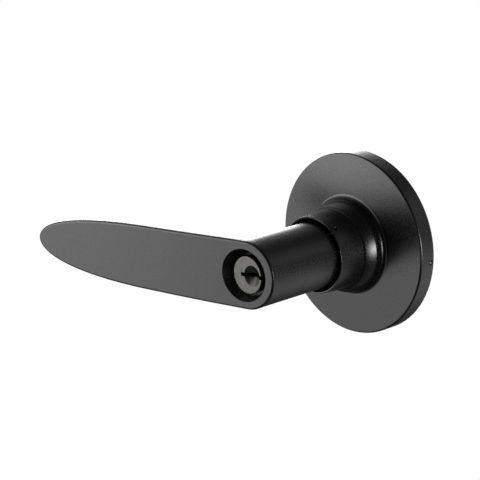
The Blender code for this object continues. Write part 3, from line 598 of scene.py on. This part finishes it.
def shoulder_centres():
    """Centres of the shoulder's arcs, each carrying on from the last, and the wall's radius."""
    radius, depth = COLLAR_FOOT_RADIUS, COLLAR_FOOT_DEPTH
    centres = []
    for size, first, last in SHOULDER_ARCS:
        radius -= size * math.cos(math.radians(first))
        depth -= size * math.sin(math.radians(first))
        centres.append((radius, depth))
        radius += size * math.cos(math.radians(last))
        depth += size * math.sin(math.radians(last))
    return centres, radius


def rose_profile():
    """The rose's section: its outer line from the collar's lip to the rim, then back along its inside."""
    centres, wall_radius = shoulder_centres()
    outer = []
    inner = []
    for (radius, depth), (size, first, last) in zip(centres, SHOULDER_ARCS):
        outer += arc(radius, depth, size, first, last, SHOULDER_STEPS)
        inner += arc(radius, depth, size - ROSE_SHEET, first, last, SHOULDER_STEPS)
    foot_centre = wall_radius + SHOULDER_FOOT_ROUND
    foot_depth = ROSE_FACE_INNER_DEPTH + SHOULDER_FOOT_ROUND
    foot_inner = SHOULDER_FOOT_ROUND + ROSE_SHEET
    foot_angle = SHOULDER_FOOT_ANGLE
    back = RIM_BACK_ROUND
    edge_centre = ROSE_RADIUS - ROSE_EDGE_ROUND
    edge_depth = ROSE_RIM_DEPTH - ROSE_EDGE_ROUND
    lip_inner = COLLAR_LIP_RADIUS - ROSE_SHEET
    rim_inner = ROSE_RADIUS - ROSE_SHEET
    return [
        *arc(COLLAR_LIP_RADIUS - LIP_ROUND, COLLAR_DEPTH - LIP_ROUND, LIP_ROUND, 90, 0, LIP_STEPS),
        *outer,
        *arc(foot_centre, foot_depth, SHOULDER_FOOT_ROUND, 180, foot_angle, SHOULDER_FOOT_STEPS),
        *arc(edge_centre, edge_depth, ROSE_EDGE_ROUND, ROSE_EDGE_ANGLE, 0, ROSE_EDGE_STEPS),
        *arc(ROSE_RADIUS - back, back, back, 0, -90, EDGE_STEPS),
        *arc(rim_inner + back, back, back, 270, 180, EDGE_STEPS),
        (rim_inner, ROSE_RIM_DEPTH - ROSE_SHEET),
        *arc(foot_centre, foot_depth, foot_inner, foot_angle, 180, SHOULDER_FOOT_STEPS // 2),
        *reversed(inner),
        *arc(lip_inner + LIP_ROUND, COLLAR_DEPTH - LIP_ROUND, LIP_ROUND, 180, 90, LIP_STEPS),
    ]


def release_hole_cutter():
    """A drill through the collar with a broken edge at the surface."""
    slope = (COLLAR_FOOT_RADIUS - COLLAR_LIP_RADIUS) / (COLLAR_DEPTH - COLLAR_FOOT_DEPTH)
    surface = COLLAR_LIP_RADIUS + slope * (COLLAR_DEPTH - RELEASE_HOLE_DEPTH)
    wide = RELEASE_HOLE_RADIUS + RELEASE_HOLE_CHAMFER + CUT_PAST
    profile = [
        (0, surface + CUT_PAST),
        (wide, surface + CUT_PAST),
        (RELEASE_HOLE_RADIUS, surface - RELEASE_HOLE_CHAMFER),
        (RELEASE_HOLE_RADIUS, NECK_RADIUS),
        (0, NECK_RADIUS),
    ]
    cutter = turned("release_hole_cutter", profile, SMALL_ROUND, closed=False)
    cutter.matrix_world = radial(RELEASE_HOLE_ANGLE, RELEASE_HOLE_DEPTH)
    return cutter


def catch_hole_cutter():
    """The hole through the lever's neck and the tube that the catch stands in."""
    low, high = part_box("lever_catch")
    radius = (high.y - low.y) / 2 - CATCH_HEAD_OVERHANG + CLEARANCE
    profile = [
        (0, ROSE_RADIUS),
        (radius, ROSE_RADIUS),
        (radius, CATCH_SPRING_RADIUS),
        (0, CATCH_SPRING_RADIUS),
    ]
    cutter = turned("catch_hole_cutter", profile, SMALL_ROUND, closed=False)
    cutter.matrix_world = radial(CATCH_ANGLE, RELEASE_HOLE_DEPTH)
    return cutter


def pry_dent_cutter():
    """A ball that dents the rim near its back edge, where a tool pries the rose off."""
    ball_centre = ROSE_RADIUS + PRY_DENT_BALL - PRY_DENT_SINK
    profile = arc(0, ball_centre, PRY_DENT_BALL, 90, -90, SMALL_ROUND // 2)
    cutter = turned("pry_dent_cutter", profile, SMALL_ROUND, closed=False)
    cutter.matrix_world = radial(PRY_DENT_ANGLE, PRY_DENT_DEPTH)
    return cutter


def make_rose():
    rose = turned("pressed_rose", rose_profile())
    cut(rose, release_hole_cutter(), pry_dent_cutter())
    paint(rose, "black_coat")
    place(rose, "rose_assembly", "black_coat", "rose_cover")


# ---------------------------------------------------------------- lever


def blade_outline(name, thickness, inset, edge_round):
    """The blade's outline as a plate: a half circle round the neck's end, and a long round tip."""
    curve = bpy.data.curves.new(name, "CURVE")
    curve.dimensions = "2D"
    curve.fill_mode = "BOTH"
    curve.extrude = thickness / 2 - edge_round
    curve.bevel_depth = edge_round
    curve.bevel_resolution = BLADE_EDGE_STEPS
    curve.offset = -inset - edge_round
    curve.resolution_u = BLADE_CURVE_STEPS
    circle_handle = CIRCLE_HANDLE * BLADE_HALF_HEIGHT
    tall, high = BLADE_HALF_HEIGHT, BLADE_TAPER_HALF_HEIGHT
    start, reach, slant = BLADE_TAPER_START, BLADE_SHOULDER_REACH, BLADE_TAPER_SLANT
    # Each point: place, handle before it, handle after it, going round from the neck's end.
    end = ((tall, 0), (tall, -circle_handle), (tall, circle_handle))
    upper = [
        ((0, tall), (circle_handle, tall), (-start / 3, tall)),
        ((-start, high), (-start * 2 / 3, high + slant * start / 3), (-start - reach, high - slant * reach)),
    ]
    lean = math.atan(FACE_SLOPE)
    tip_x = -BLADE_LENGTH / math.cos(lean)
    tip = ((tip_x, 0), (tip_x, BLADE_TIP_FULLNESS), (tip_x, -BLADE_TIP_FULLNESS))
    lower = [
        tuple((x, -y) for x, y in (place, after, before)) for place, before, after in reversed(upper)
    ]
    points = [end, *upper, tip, *lower]
    spline = curve.splines.new("BEZIER")
    spline.use_cyclic_u = True
    spline.bezier_points.add(len(points) - 1)
    for spot, (place, before, after) in zip(spline.bezier_points, points):
        spot.handle_left_type = "FREE"
        spot.handle_right_type = "FREE"
        spot.co = (*place, 0)
        spot.handle_left = (*before, 0)
        spot.handle_right = (*after, 0)
    return new_object(name, mesh_of_curve(curve))


def blade_frame(depth_below_face):
    """The placing of a plate whose middle lies this far below the blade's leaning front face."""
    lean = Matrix.Rotation(math.atan(FACE_SLOPE), 4, "Y")
    return Matrix.Translation((0, 0, FACE_DEPTH)) @ lean @ Matrix.Translation((0, 0, -depth_below_face))


def bow(plate):
    """Bends the plate along its length: it rises a little more, then curves back toward the door."""
    form = bmesh.new()
    form.from_mesh(plate.data)
    for piece in range(1, BOW_PIECES):
        along = -BLADE_LENGTH * piece / BOW_PIECES
        everything = form.verts[:] + form.edges[:] + form.faces[:]
        bmesh.ops.bisect_plane(form, geom=everything, plane_co=(along, 0, 0), plane_no=(1, 0, 0))
    for vertex in form.verts:
        past_start = max(-vertex.co.x - BOW_START, 0)
        vertex.co.z += BOW_RISE * past_start - past_start**2 / (2 * BOW_RADIUS)
    form.to_mesh(plate.data)
    form.free()


def make_web():
    """The sweep from the neck into the blade's leaning back: a trumpet, kept only behind the blade."""
    lean = math.atan(FACE_SLOPE)
    reach = NECK_RADIUS + WEB_ROUND * (1 - math.sin(lean))
    blade_back = FACE_DEPTH - BLADE_THICKNESS / math.cos(lean) + FACE_SLOPE * reach
    foot = blade_back - WEB_ROUND * math.cos(lean)
    profile = [
        (0, blade_back + BLADE_THICKNESS / 2),
        (reach, blade_back + BLADE_THICKNESS / 2),
        *arc(NECK_RADIUS + WEB_ROUND, foot, WEB_ROUND, 90 + math.degrees(lean), 180, WEB_STEPS),
        (NECK_RADIUS, foot - WEB_ROUND / 2),
        (0, foot - WEB_ROUND / 2),
    ]
    web = turned("web", profile, closed=False)
    limit = blade_outline("web_limit", 4 * WEB_ROUND, WEB_INSET, 0)
    limit.matrix_world = blade_frame(2 * WEB_ROUND + BLADE_THICKNESS / 2)
    return combine(web, "INTERSECT", [limit])


def lever_bore():
    """The bore through the lever: a flared recess, the lock's bore, and the socket for the tube."""
    recess_top = FACE_DEPTH + CUT_PAST
    profile = [
        (0, recess_top),
        (FRONT_BORE_RADIUS + RECESS_TAPER * (recess_top - RECESS_DEPTH), recess_top),
        (FRONT_BORE_RADIUS, RECESS_DEPTH),
        (FRONT_BORE_RADIUS, FRONT_BORE_BACK),
        (SHELL_CLEARANCE_RADIUS, FRONT_BORE_BACK),
        (SHELL_CLEARANCE_RADIUS, SOCKET_DEPTH),
        (SOCKET_RADIUS, SOCKET_DEPTH),
        (SOCKET_RADIUS, NECK_BACK - CUT_PAST),
        (0, NECK_BACK - CUT_PAST),
    ]
    return turned("lever_bore_cutter", profile, closed=False)


def housing_pocket():
    """The pocket that lets the lock's pin housing into the lever."""
    low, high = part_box("pin_chamber_cover")
    half_height = (high.z - low.z) / 2 + POCKET_CLEARANCE
    return block(
        "pin_housing_pocket_cutter",
        (low.x - POCKET_CLEARANCE, -half_height, SOCKET_DEPTH - CUT_PAST),
        (0, half_height, -low.y + POCKET_CLEARANCE),
    )


def make_lever():
    """Neck, web and blade in one casting, then its bores."""
    neck_front = FACE_DEPTH - BLADE_THICKNESS / 2
    neck_profile = [
        (0, neck_front),
        (NECK_RADIUS, neck_front),
        *arc(NECK_RADIUS - LIP_ROUND, NECK_BACK + LIP_ROUND, LIP_ROUND, 0, -90, EDGE_STEPS),
        (0, NECK_BACK),
    ]
    lever = turned("cast_lever", neck_profile, closed=False)
    blade = blade_outline("blade_plate", BLADE_THICKNESS, 0, BLADE_EDGE_ROUND)
    blade.matrix_world = blade_frame(BLADE_THICKNESS / 2)
    bow(blade)
    join(lever, make_web(), blade)
    cut(lever, lever_bore(), housing_pocket(), catch_hole_cutter())
    paint(lever, "black_coat")
    place(lever, "lever", "black_coat", "lever_handle")


# ---------------------------------------------------------------- plug


def make_plug():
    """The plug: a nickel face with its key guide and keyway, on a brass body."""
    edge = PLUG_EDGE_ROUND
    profile = [
        (0, PLUG_FACE_DEPTH),
        *arc(PLUG_HEAD_RADIUS - edge, PLUG_FACE_DEPTH - edge, edge, 90, 0, PLUG_EDGE_STEPS),
        (PLUG_HEAD_RADIUS, PLUG_HEAD_BACK),
        (PLUG_RADIUS, PLUG_HEAD_BACK),
        (PLUG_RADIUS, PLUG_SHOULDER_DEPTH),
        (PLUG_STUB_RADIUS, PLUG_SHOULDER_DEPTH),
        (PLUG_STUB_RADIUS, PLUG_BACK),
        (0, PLUG_BACK),
    ]
    plug = turned("plug_body", profile, BORE_ROUND, closed=False)
    guide_slope = KEY_GUIDE_RADIUS / KEY_GUIDE_DEPTH
    guide_profile = [
        (0, PLUG_FACE_DEPTH + KEY_GUIDE_DEPTH),
        (KEY_GUIDE_RADIUS + guide_slope * KEY_GUIDE_DEPTH, PLUG_FACE_DEPTH + KEY_GUIDE_DEPTH),
        (0, PLUG_FACE_DEPTH - KEY_GUIDE_DEPTH),
    ]
    guide = turned("key_guide_cutter", guide_profile, BORE_ROUND, closed=False)
    guide.matrix_world = Matrix.Translation((KEY_GUIDE_OFFSET, 0, 0))
    keyway = block(
        "keyway_cutter",
        (-KEYWAY_BITTING_SIDE, -KEYWAY_WIDTH / 2, KEYWAY_BACK),
        (2 * PLUG_HEAD_RADIUS, KEYWAY_WIDTH / 2, PLUG_FACE_DEPTH + CUT_PAST),
    )
    cut(plug, guide, keyway)
    paint(plug, "brass")
    plug.data.materials.append(FINISHES["satin_nickel"])
    for face in plug.data.polygons:
        face.material_index = 1 if face.center.z > PLUG_HEAD_BACK else 0
    place(plug, "plug", "satin_nickel", "cylinder_plug")


# ---------------------------------------------------------------- pieces seen from behind


def drill(name, radius, back, front, radius_at, angle, chamfer=0.0):
    """A round cutter parallel to the axis, widened at both ends of the sheet by a chamfer."""
    wide = radius + chamfer + CUT_PAST
    profile = [
        (0, front + CUT_PAST),
        (wide, front + CUT_PAST),
        (radius, front - chamfer),
        (radius, back + chamfer),
        (wide, back - CUT_PAST),
        (0, back - CUT_PAST),
    ]
    cutter = turned(name, profile, SMALL_ROUND, closed=False)
    cutter.matrix_world = at(radius_at, angle)
    return cutter


def sheet_ring(outer, inner, back, front, edge):
    """The section of a flat ring with rounded edges."""
    return [
        *arc(outer - edge, front - edge, edge, 90, 0, EDGE_STEPS),
        *arc(outer - edge, back + edge, edge, 0, -90, EDGE_STEPS),
        *arc(inner + edge, back + edge, edge, 270, 180, EDGE_STEPS),
        *arc(inner + edge, front - edge, edge, 180, 90, EDGE_STEPS),
    ]


def make_mounting_plate():
    """The plate behind the rose, with holes for the posts, the cage's screws and the spring's leg."""
    section = sheet_ring(PLATE_RADIUS, TUBE_OUTER + CLEARANCE, PLATE_BACK, PLATE_FRONT, SHEET_EDGE_ROUND)
    plate = turned("pressed_mounting_plate", section)
    size = (PLATE_BACK, PLATE_FRONT)
    drills = []
    for angle in POST_ANGLES:
        radius = POST_STEM_RADIUS + CLEARANCE
        drills.append(drill("post_hole", radius, *size, POST_CIRCLE, angle, SHEET_EDGE_ROUND))
    for angle in CAGE_SCREW_ANGLES:
        radius = CAGE_SCREW_RADIUS + CLEARANCE
        drills.append(drill("screw_hole", radius, *size, CAGE_SCREW_CIRCLE, angle, SHEET_EDGE_ROUND))
    drills.append(drill("leg_hole", SPRING_LEG_HOLE_RADIUS, *size, RETURN_SPRING_RADIUS, RETURN_SPRING_START))
    cut(plate, *drills)
    paint(plate, "zinc_plate")
    place(plate, "rose_assembly", "zinc_plate", "mounting_plate")


def thread_profile(radius, back, front):
    """The wall of a threaded bore as grooves one pitch apart, from its open back to its front."""
    points = []
    turns = int((front - back) / THREAD_PITCH)
    for turn in range(turns):
        depth = back + (turn + 0.5) * THREAD_PITCH
        points.append((radius, depth))
        points.append((radius + THREAD_HEIGHT, depth + THREAD_PITCH / 2))
    points.append((radius, front))
    return points


def make_posts():
    """Posts that the through bolts screw into, with chamfered ends and threaded bores."""
    head_back = PLATE_FRONT + CLEARANCE
    post_back = -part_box("bolt_post_upper")[1].y
    edge = SHEET_EDGE_ROUND
    for side, angle in zip(("upper", "lower"), POST_ANGLES):
        profile = [
            (0, head_back + POST_HEAD_THICKNESS),
            *arc(POST_HEAD_RADIUS - edge, head_back + POST_HEAD_THICKNESS - edge, edge, 90, 0, EDGE_STEPS),
            (POST_HEAD_RADIUS, head_back),
            (POST_STEM_RADIUS, head_back),
            (POST_STEM_RADIUS, PLATE_BACK - CLEARANCE),
            *arc(POST_RADIUS - edge, PLATE_BACK - CLEARANCE - edge, edge, 90, 0, EDGE_STEPS),
            (POST_RADIUS, post_back + 2 * edge),
            (POST_RADIUS - 2 * edge, post_back),
            (POST_THREAD_RADIUS + THREAD_HEIGHT, post_back),
            *thread_profile(POST_THREAD_RADIUS, post_back, POST_THREAD_FRONT),
            (0, POST_THREAD_FRONT),
        ]
        post = turned(f"threaded_post_{side}", profile, SMALL_ROUND, closed=False)
        post.matrix_world = at(POST_CIRCLE, angle)
        paint(post, "zinc_plate")
        place(post, "rose_assembly", "zinc_plate", f"bolt_post_{side}")


def make_tube():
    """The outside spindle, with its ring groove, its drive slots and the catch's hole."""
    edge = SHEET_EDGE_ROUND
    profile = [
        *arc(TUBE_OUTER - edge, TUBE_FRONT - edge, edge, 90, 0, EDGE_STEPS),
        (TUBE_OUTER, PLATE_BACK),
        (RING_GROOVE_RADIUS, PLATE_BACK),
        (RING_GROOVE_RADIUS, RING_BACK - CLEARANCE),
        (TUBE_OUTER, RING_BACK - CLEARANCE),
        *arc(TUBE_OUTER - edge, TUBE_BACK + edge, edge, 0, -90, EDGE_STEPS),
        *arc(TUBE_INNER + edge, TUBE_BACK + edge, edge, 270, 180, EDGE_STEPS),
        *arc(TUBE_INNER + edge, TUBE_FRONT - edge, edge, 180, 90, EDGE_STEPS),
    ]
    tube = turned("spindle_tube", profile)
    slot = block(
        "tube_slot_cutter",
        (-2 * TUBE_OUTER, -TUBE_SLOT_WIDTH / 2, TUBE_BACK - CUT_PAST),
        (2 * TUBE_OUTER, TUBE_SLOT_WIDTH / 2, TUBE_BACK + TUBE_SLOT_LENGTH),
    )
    cut(tube, slot, catch_hole_cutter())
    paint(tube, "zinc_plate")
    place(tube, "lever", "zinc_plate", "drive_tube")


def make_retaining_ring():
    """The open snap ring that holds the tube to the plate."""
    inner = RING_GROOVE_RADIUS + CLEARANCE
    section = sheet_ring(RING_RADIUS, inner, RING_BACK, RING_FRONT, STRIP_EDGE_ROUND)
    ring = turned("snap_ring", section, BORE_ROUND)
    half = RING_RADIUS * math.sin(math.radians(RING_OPENING / 2))
    opening = block(
        "ring_opening_cutter",
        (-half, 0, RING_BACK - CUT_PAST),
        (half, 2 * RING_RADIUS, RING_FRONT + CUT_PAST),
    )
    cut(ring, opening)
    paint(ring, "spring_steel")
    place(ring, "lever", "spring_steel", "spindle_retaining_ring")


def point_and_round(strip, back):
    """Takes the strip's back corners off to a point, then rounds its long edges."""
    form = bmesh.new()
    form.from_mesh(strip.data)
    back_edges = [e for e in form.edges if all(v.co.z < back + CLEARANCE for v in e.verts)]
    corners = [e for e in back_edges if abs(e.verts[0].co.x - e.verts[1].co.x) < CLEARANCE]
    bmesh.ops.bevel(form, geom=corners, offset=TAILPIECE_POINT, segments=1, affect="EDGES")
    sharp = [e for e in form.edges if e.calc_face_angle(0) > math.radians(SHARP_ANGLE)]
    bmesh.ops.bevel(form, geom=sharp, offset=STRIP_EDGE_ROUND, segments=STRIP_EDGE_STEPS, affect="EDGES")
    form.to_mesh(strip.data)
    form.free()


def make_tailpiece():
    """A flat strip with a pointed end, on a small round flange behind the plug."""
    low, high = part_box("tailpiece")
    back, front = -high.y, -low.y
    flange_radius = (high.x - low.x) / 2
    flange_back = front - TAILPIECE_FLANGE_THICKNESS
    section = sheet_ring(flange_radius, 0, flange_back, front, STRIP_EDGE_ROUND)
    outer_line = section[: len(section) // 2]
    flange_profile = [(0, front), *outer_line, (0, flange_back)]
    tailpiece = turned("tail_strip", flange_profile, BORE_ROUND, closed=False)
    half_width, half_thickness = TAILPIECE_WIDTH / 2, TAILPIECE_THICKNESS / 2
    strip = block(
        "tail_strip_blank",
        (-half_width, -half_thickness, back),
        (half_width, half_thickness, front - TAILPIECE_FLANGE_THICKNESS / 2),
    )
    point_and_round(strip, back)
    join(tailpiece, strip)
    paint(tailpiece, "spring_steel")
    place(tailpiece, "plug", "spring_steel", "tailpiece")


# ---------------------------------------------------------------- springs


def wire(name, points, radius):
    """A round wire along points."""
    curve = bpy.data.curves.new(name, "CURVE")
    curve.dimensions = "3D"
    curve.bevel_depth = radius
    curve.bevel_resolution = WIRE_ROUND_STEPS
    curve.use_fill_caps = True
    spline = curve.splines.new("POLY")
    spline.points.add(len(points) - 1)
    for spot, point in zip(spline.points, points):
        spot.co = (*point, 1)
    return new_object(name, mesh_of_curve(curve))


def coil(radius, low, high, turns, start_angle, steps_per_turn):
    """Points along a coil round z, from depth low to depth high."""
    points = []
    steps = round(turns * steps_per_turn)
    for step in range(steps + 1):
        part = step / steps
        angle = math.radians(start_angle + 360 * turns * part)
        points.append((radius * math.cos(angle), radius * math.sin(angle), low + (high - low) * part))
    return points


def make_return_spring():
    """The torsion spring: it winds up between its leg in the plate and its leg in the rotor."""
    low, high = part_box("return_spring")
    points = coil(
        RETURN_SPRING_RADIUS, RETURN_SPRING_LOW, RETURN_SPRING_HIGH,
        RETURN_SPRING_TURNS, RETURN_SPRING_START, RETURN_SPRING_STEPS,
    )
    first, last = points[0], points[-1]
    points.insert(0, (first[0], first[1], -high.y))
    points.append((last[0], last[1], -low.y))
    spring = wire("return_coil", points, RETURN_SPRING_WIRE)
    paint(spring, "spring_steel")
    shade(spring)
    bake(spring)
    spring.matrix_world = AXIS
    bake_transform(spring)
    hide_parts("return_spring")


def make_pin_springs():
    """The coils behind the driver pins. They shorten as the drivers lift."""
    count = len([name for name in frame["nodes"] if name.startswith("pin_spring_")])
    for number in range(1, count + 1):
        low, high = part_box(f"pin_spring_{number}")
        inner, outer = -high.x + PIN_SPRING_WIRE, -low.x - PIN_SPRING_WIRE
        points = coil(PIN_SPRING_RADIUS, inner, outer, PIN_SPRING_TURNS, 0, PIN_SPRING_STEPS)
        spring = wire(f"pin_coil_{number}", points, PIN_SPRING_WIRE)
        spring.matrix_world = radial(180, -(low.y + high.y) / 2)
        paint(spring, "spring_steel")
        place(spring, "lever", "spring_steel", f"pin_spring_{number}")
        bake(spring)
        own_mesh(spring)


def make_catch_spring():
    """An open ring of spring strip that pushes the catch out and gives as the catch is pressed."""
    section = sheet_ring(
        CATCH_SPRING_RADIUS, CATCH_SPRING_RADIUS - CATCH_SPRING_SHEET,
        -CATCH_SPRING_WIDTH / 2, CATCH_SPRING_WIDTH / 2, CATCH_SPRING_SHEET / 4,
    )
    spring = turned("catch_strip", section, BORE_ROUND)
    half = CATCH_SPRING_RADIUS * math.sin(math.radians(CATCH_SPRING_OPENING / 2))
    opening = block(
        "catch_spring_opening_cutter",
        (-2 * CATCH_SPRING_RADIUS, -half, -CATCH_SPRING_WIDTH),
        (0, half, CATCH_SPRING_WIDTH),
    )
    cut(spring, opening)
    placing = Matrix.Translation((0, 0, RELEASE_HOLE_DEPTH)) @ spin(CATCH_ANGLE)
    spring.matrix_world = placing @ Matrix.Translation((-CATCH_SPRING_SHIFT, 0, 0))
    paint(spring, "spring_steel")
    place(spring, "lever", "spring_steel", "catch_spring")
    bake(spring)
    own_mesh(spring)


# ---------------------------------------------------------------- stage, light and camera


# The camera: where it looks from, how far, how long its lens is, and how far its axis passes the lock's.
CAMERA_AZIMUTH = 45.54
CAMERA_ELEVATION = 14.56
CAMERA_ROLL = -2.32
CAMERA_DISTANCE = 1.118
CAMERA_LENS_MM = 173.1
CAMERA_SENSOR_MM = 36
CAMERA_SEES_TO = 100
CAMERA_PAST_RIGHT = 0.05995
CAMERA_PAST_UP = 0.00017

FLOOR_DROP = 0.6
FLOOR_SIZE = 40.0


def make_camera():
    """The camera, placed from its angles and aimed beside the lock's axis."""
    azimuth, elevation, roll = (
        math.radians(angle) for angle in (CAMERA_AZIMUTH, CAMERA_ELEVATION, CAMERA_ROLL)
    )
    back = Vector((
        math.sin(azimuth) * math.cos(elevation),
        -math.cos(azimuth) * math.cos(elevation),
        math.sin(elevation),
    ))
    level = Vector((math.cos(azimuth), math.sin(azimuth), 0))
    above = back.cross(level)
    right = level * math.cos(roll) + above * math.sin(roll)
    up = above * math.cos(roll) - level * math.sin(roll)
    data = bpy.data.cameras.new("camera")
    data.lens = CAMERA_LENS_MM
    data.sensor_width = CAMERA_SENSOR_MM
    data.clip_end = CAMERA_SEES_TO
    camera = new_object("camera", data)
    spot = AXIS_POINT + back * CAMERA_DISTANCE - right * CAMERA_PAST_RIGHT - up * CAMERA_PAST_UP
    turn = Matrix((right, up, back)).transposed().to_4x4()
    camera.matrix_world = Matrix.Translation(spot) @ turn
    bpy.context.scene.camera = camera


def make_floor():
    """A plain white floor well below the lock. Its glow is left out of the reflections."""
    mesh = bpy.data.meshes.new("floor")
    form = bmesh.new()
    bmesh.ops.create_grid(form, x_segments=1, y_segments=1, size=FLOOR_SIZE / 2)
    form.to_mesh(mesh)
    form.free()
    floor = new_object("floor", mesh)
    floor.location.z = -FLOOR_DROP
    floor.visible_glossy = False
    floor.visible_diffuse = False
    floor.visible_shadow = False
    material = bpy.data.materials.new("pale_floor")
    material.use_nodes = True
    shader = material.node_tree.nodes["Principled BSDF"]
    shader.inputs["Base Color"].default_value = (0, 0, 0, 1)
    shader.inputs["Emission Color"].default_value = (1, 1, 1, 1)
    shader.inputs["Emission Strength"].default_value = 1.0
    shader.inputs["Specular IOR Level"].default_value = 0
    mesh.materials.append(material)


# The studio's soft panels: azimuth in degrees from the front toward +X, elevation in degrees,
# strength, and how tightly each panel's light is gathered round its middle.
PANELS = {
    "left_front": (315, 11, 4.3, 14),
    "left_low": (322, -18, 1.2, 12),
    "backdrop_left": (229, 4, 7.0, 34),
    "backdrop_back": (195, 10, 0.8, 14),
    "right_side": (98, -4, 18.0, 60),
    "right_high": (144, 24, 0.36, 20),
    "right_back": (162, -14, 1.6, 26),
    "floor_back": (148, -42, 0.5, 9),
    "top_left": (247, 42, 0.8, 12),
}
AMBIENT = 0.02
SEEN_BY_CAMERA = 1.0


def make_world():
    """The studio: soft panels that fade into the dark round them, and plain white to the camera."""
    world = bpy.data.worlds.new("studio")
    bpy.context.scene.world = world
    world.use_nodes = True
    tree = world.node_tree
    nodes = tree.nodes
    background = nodes["Background"]
    background.inputs["Color"].default_value = (1, 1, 1, 1)
    coordinates = nodes.new("ShaderNodeTexCoord")

    def calculate(operation, first, second):
        node = nodes.new("ShaderNodeMath")
        node.operation = operation
        for value, socket in ((first, node.inputs[0]), (second, node.inputs[1])):
            if isinstance(value, (int, float)):
                socket.default_value = value
            else:
                tree.links.new(value, socket)
        return node.outputs[0]

    total = AMBIENT
    for azimuth, elevation, strength, tightness in PANELS.values():
        turn, rise = math.radians(azimuth), math.radians(elevation)
        toward = (math.sin(turn) * math.cos(rise), -math.cos(turn) * math.cos(rise), math.sin(rise))
        nearness = nodes.new("ShaderNodeVectorMath")
        nearness.operation = "DOT_PRODUCT"
        tree.links.new(coordinates.outputs["Generated"], nearness.inputs[0])
        nearness.inputs[1].default_value = toward
        past = calculate("SUBTRACT", nearness.outputs["Value"], 1.0)
        fade = calculate("EXPONENT", calculate("MULTIPLY", past, tightness), 0.0)
        total = calculate("ADD", calculate("MULTIPLY", fade, strength), total)
    rays = nodes.new("ShaderNodeLightPath")
    choice = nodes.new("ShaderNodeMix")
    tree.links.new(rays.outputs["Is Camera Ray"], choice.inputs["Factor"])
    tree.links.new(total, choice.inputs[2])
    choice.inputs[3].default_value = SEEN_BY_CAMERA
    tree.links.new(choice.outputs[0], background.inputs["Strength"])


finish_cad_nodes()
make_rose()
make_lever()
make_plug()
make_mounting_plate()
make_posts()
make_tube()
make_retaining_ring()
make_tailpiece()
make_return_spring()
make_pin_springs()
make_catch_spring()
make_floor()
make_world()
make_camera()
bpy.context.scene.view_settings.view_transform = "Standard"
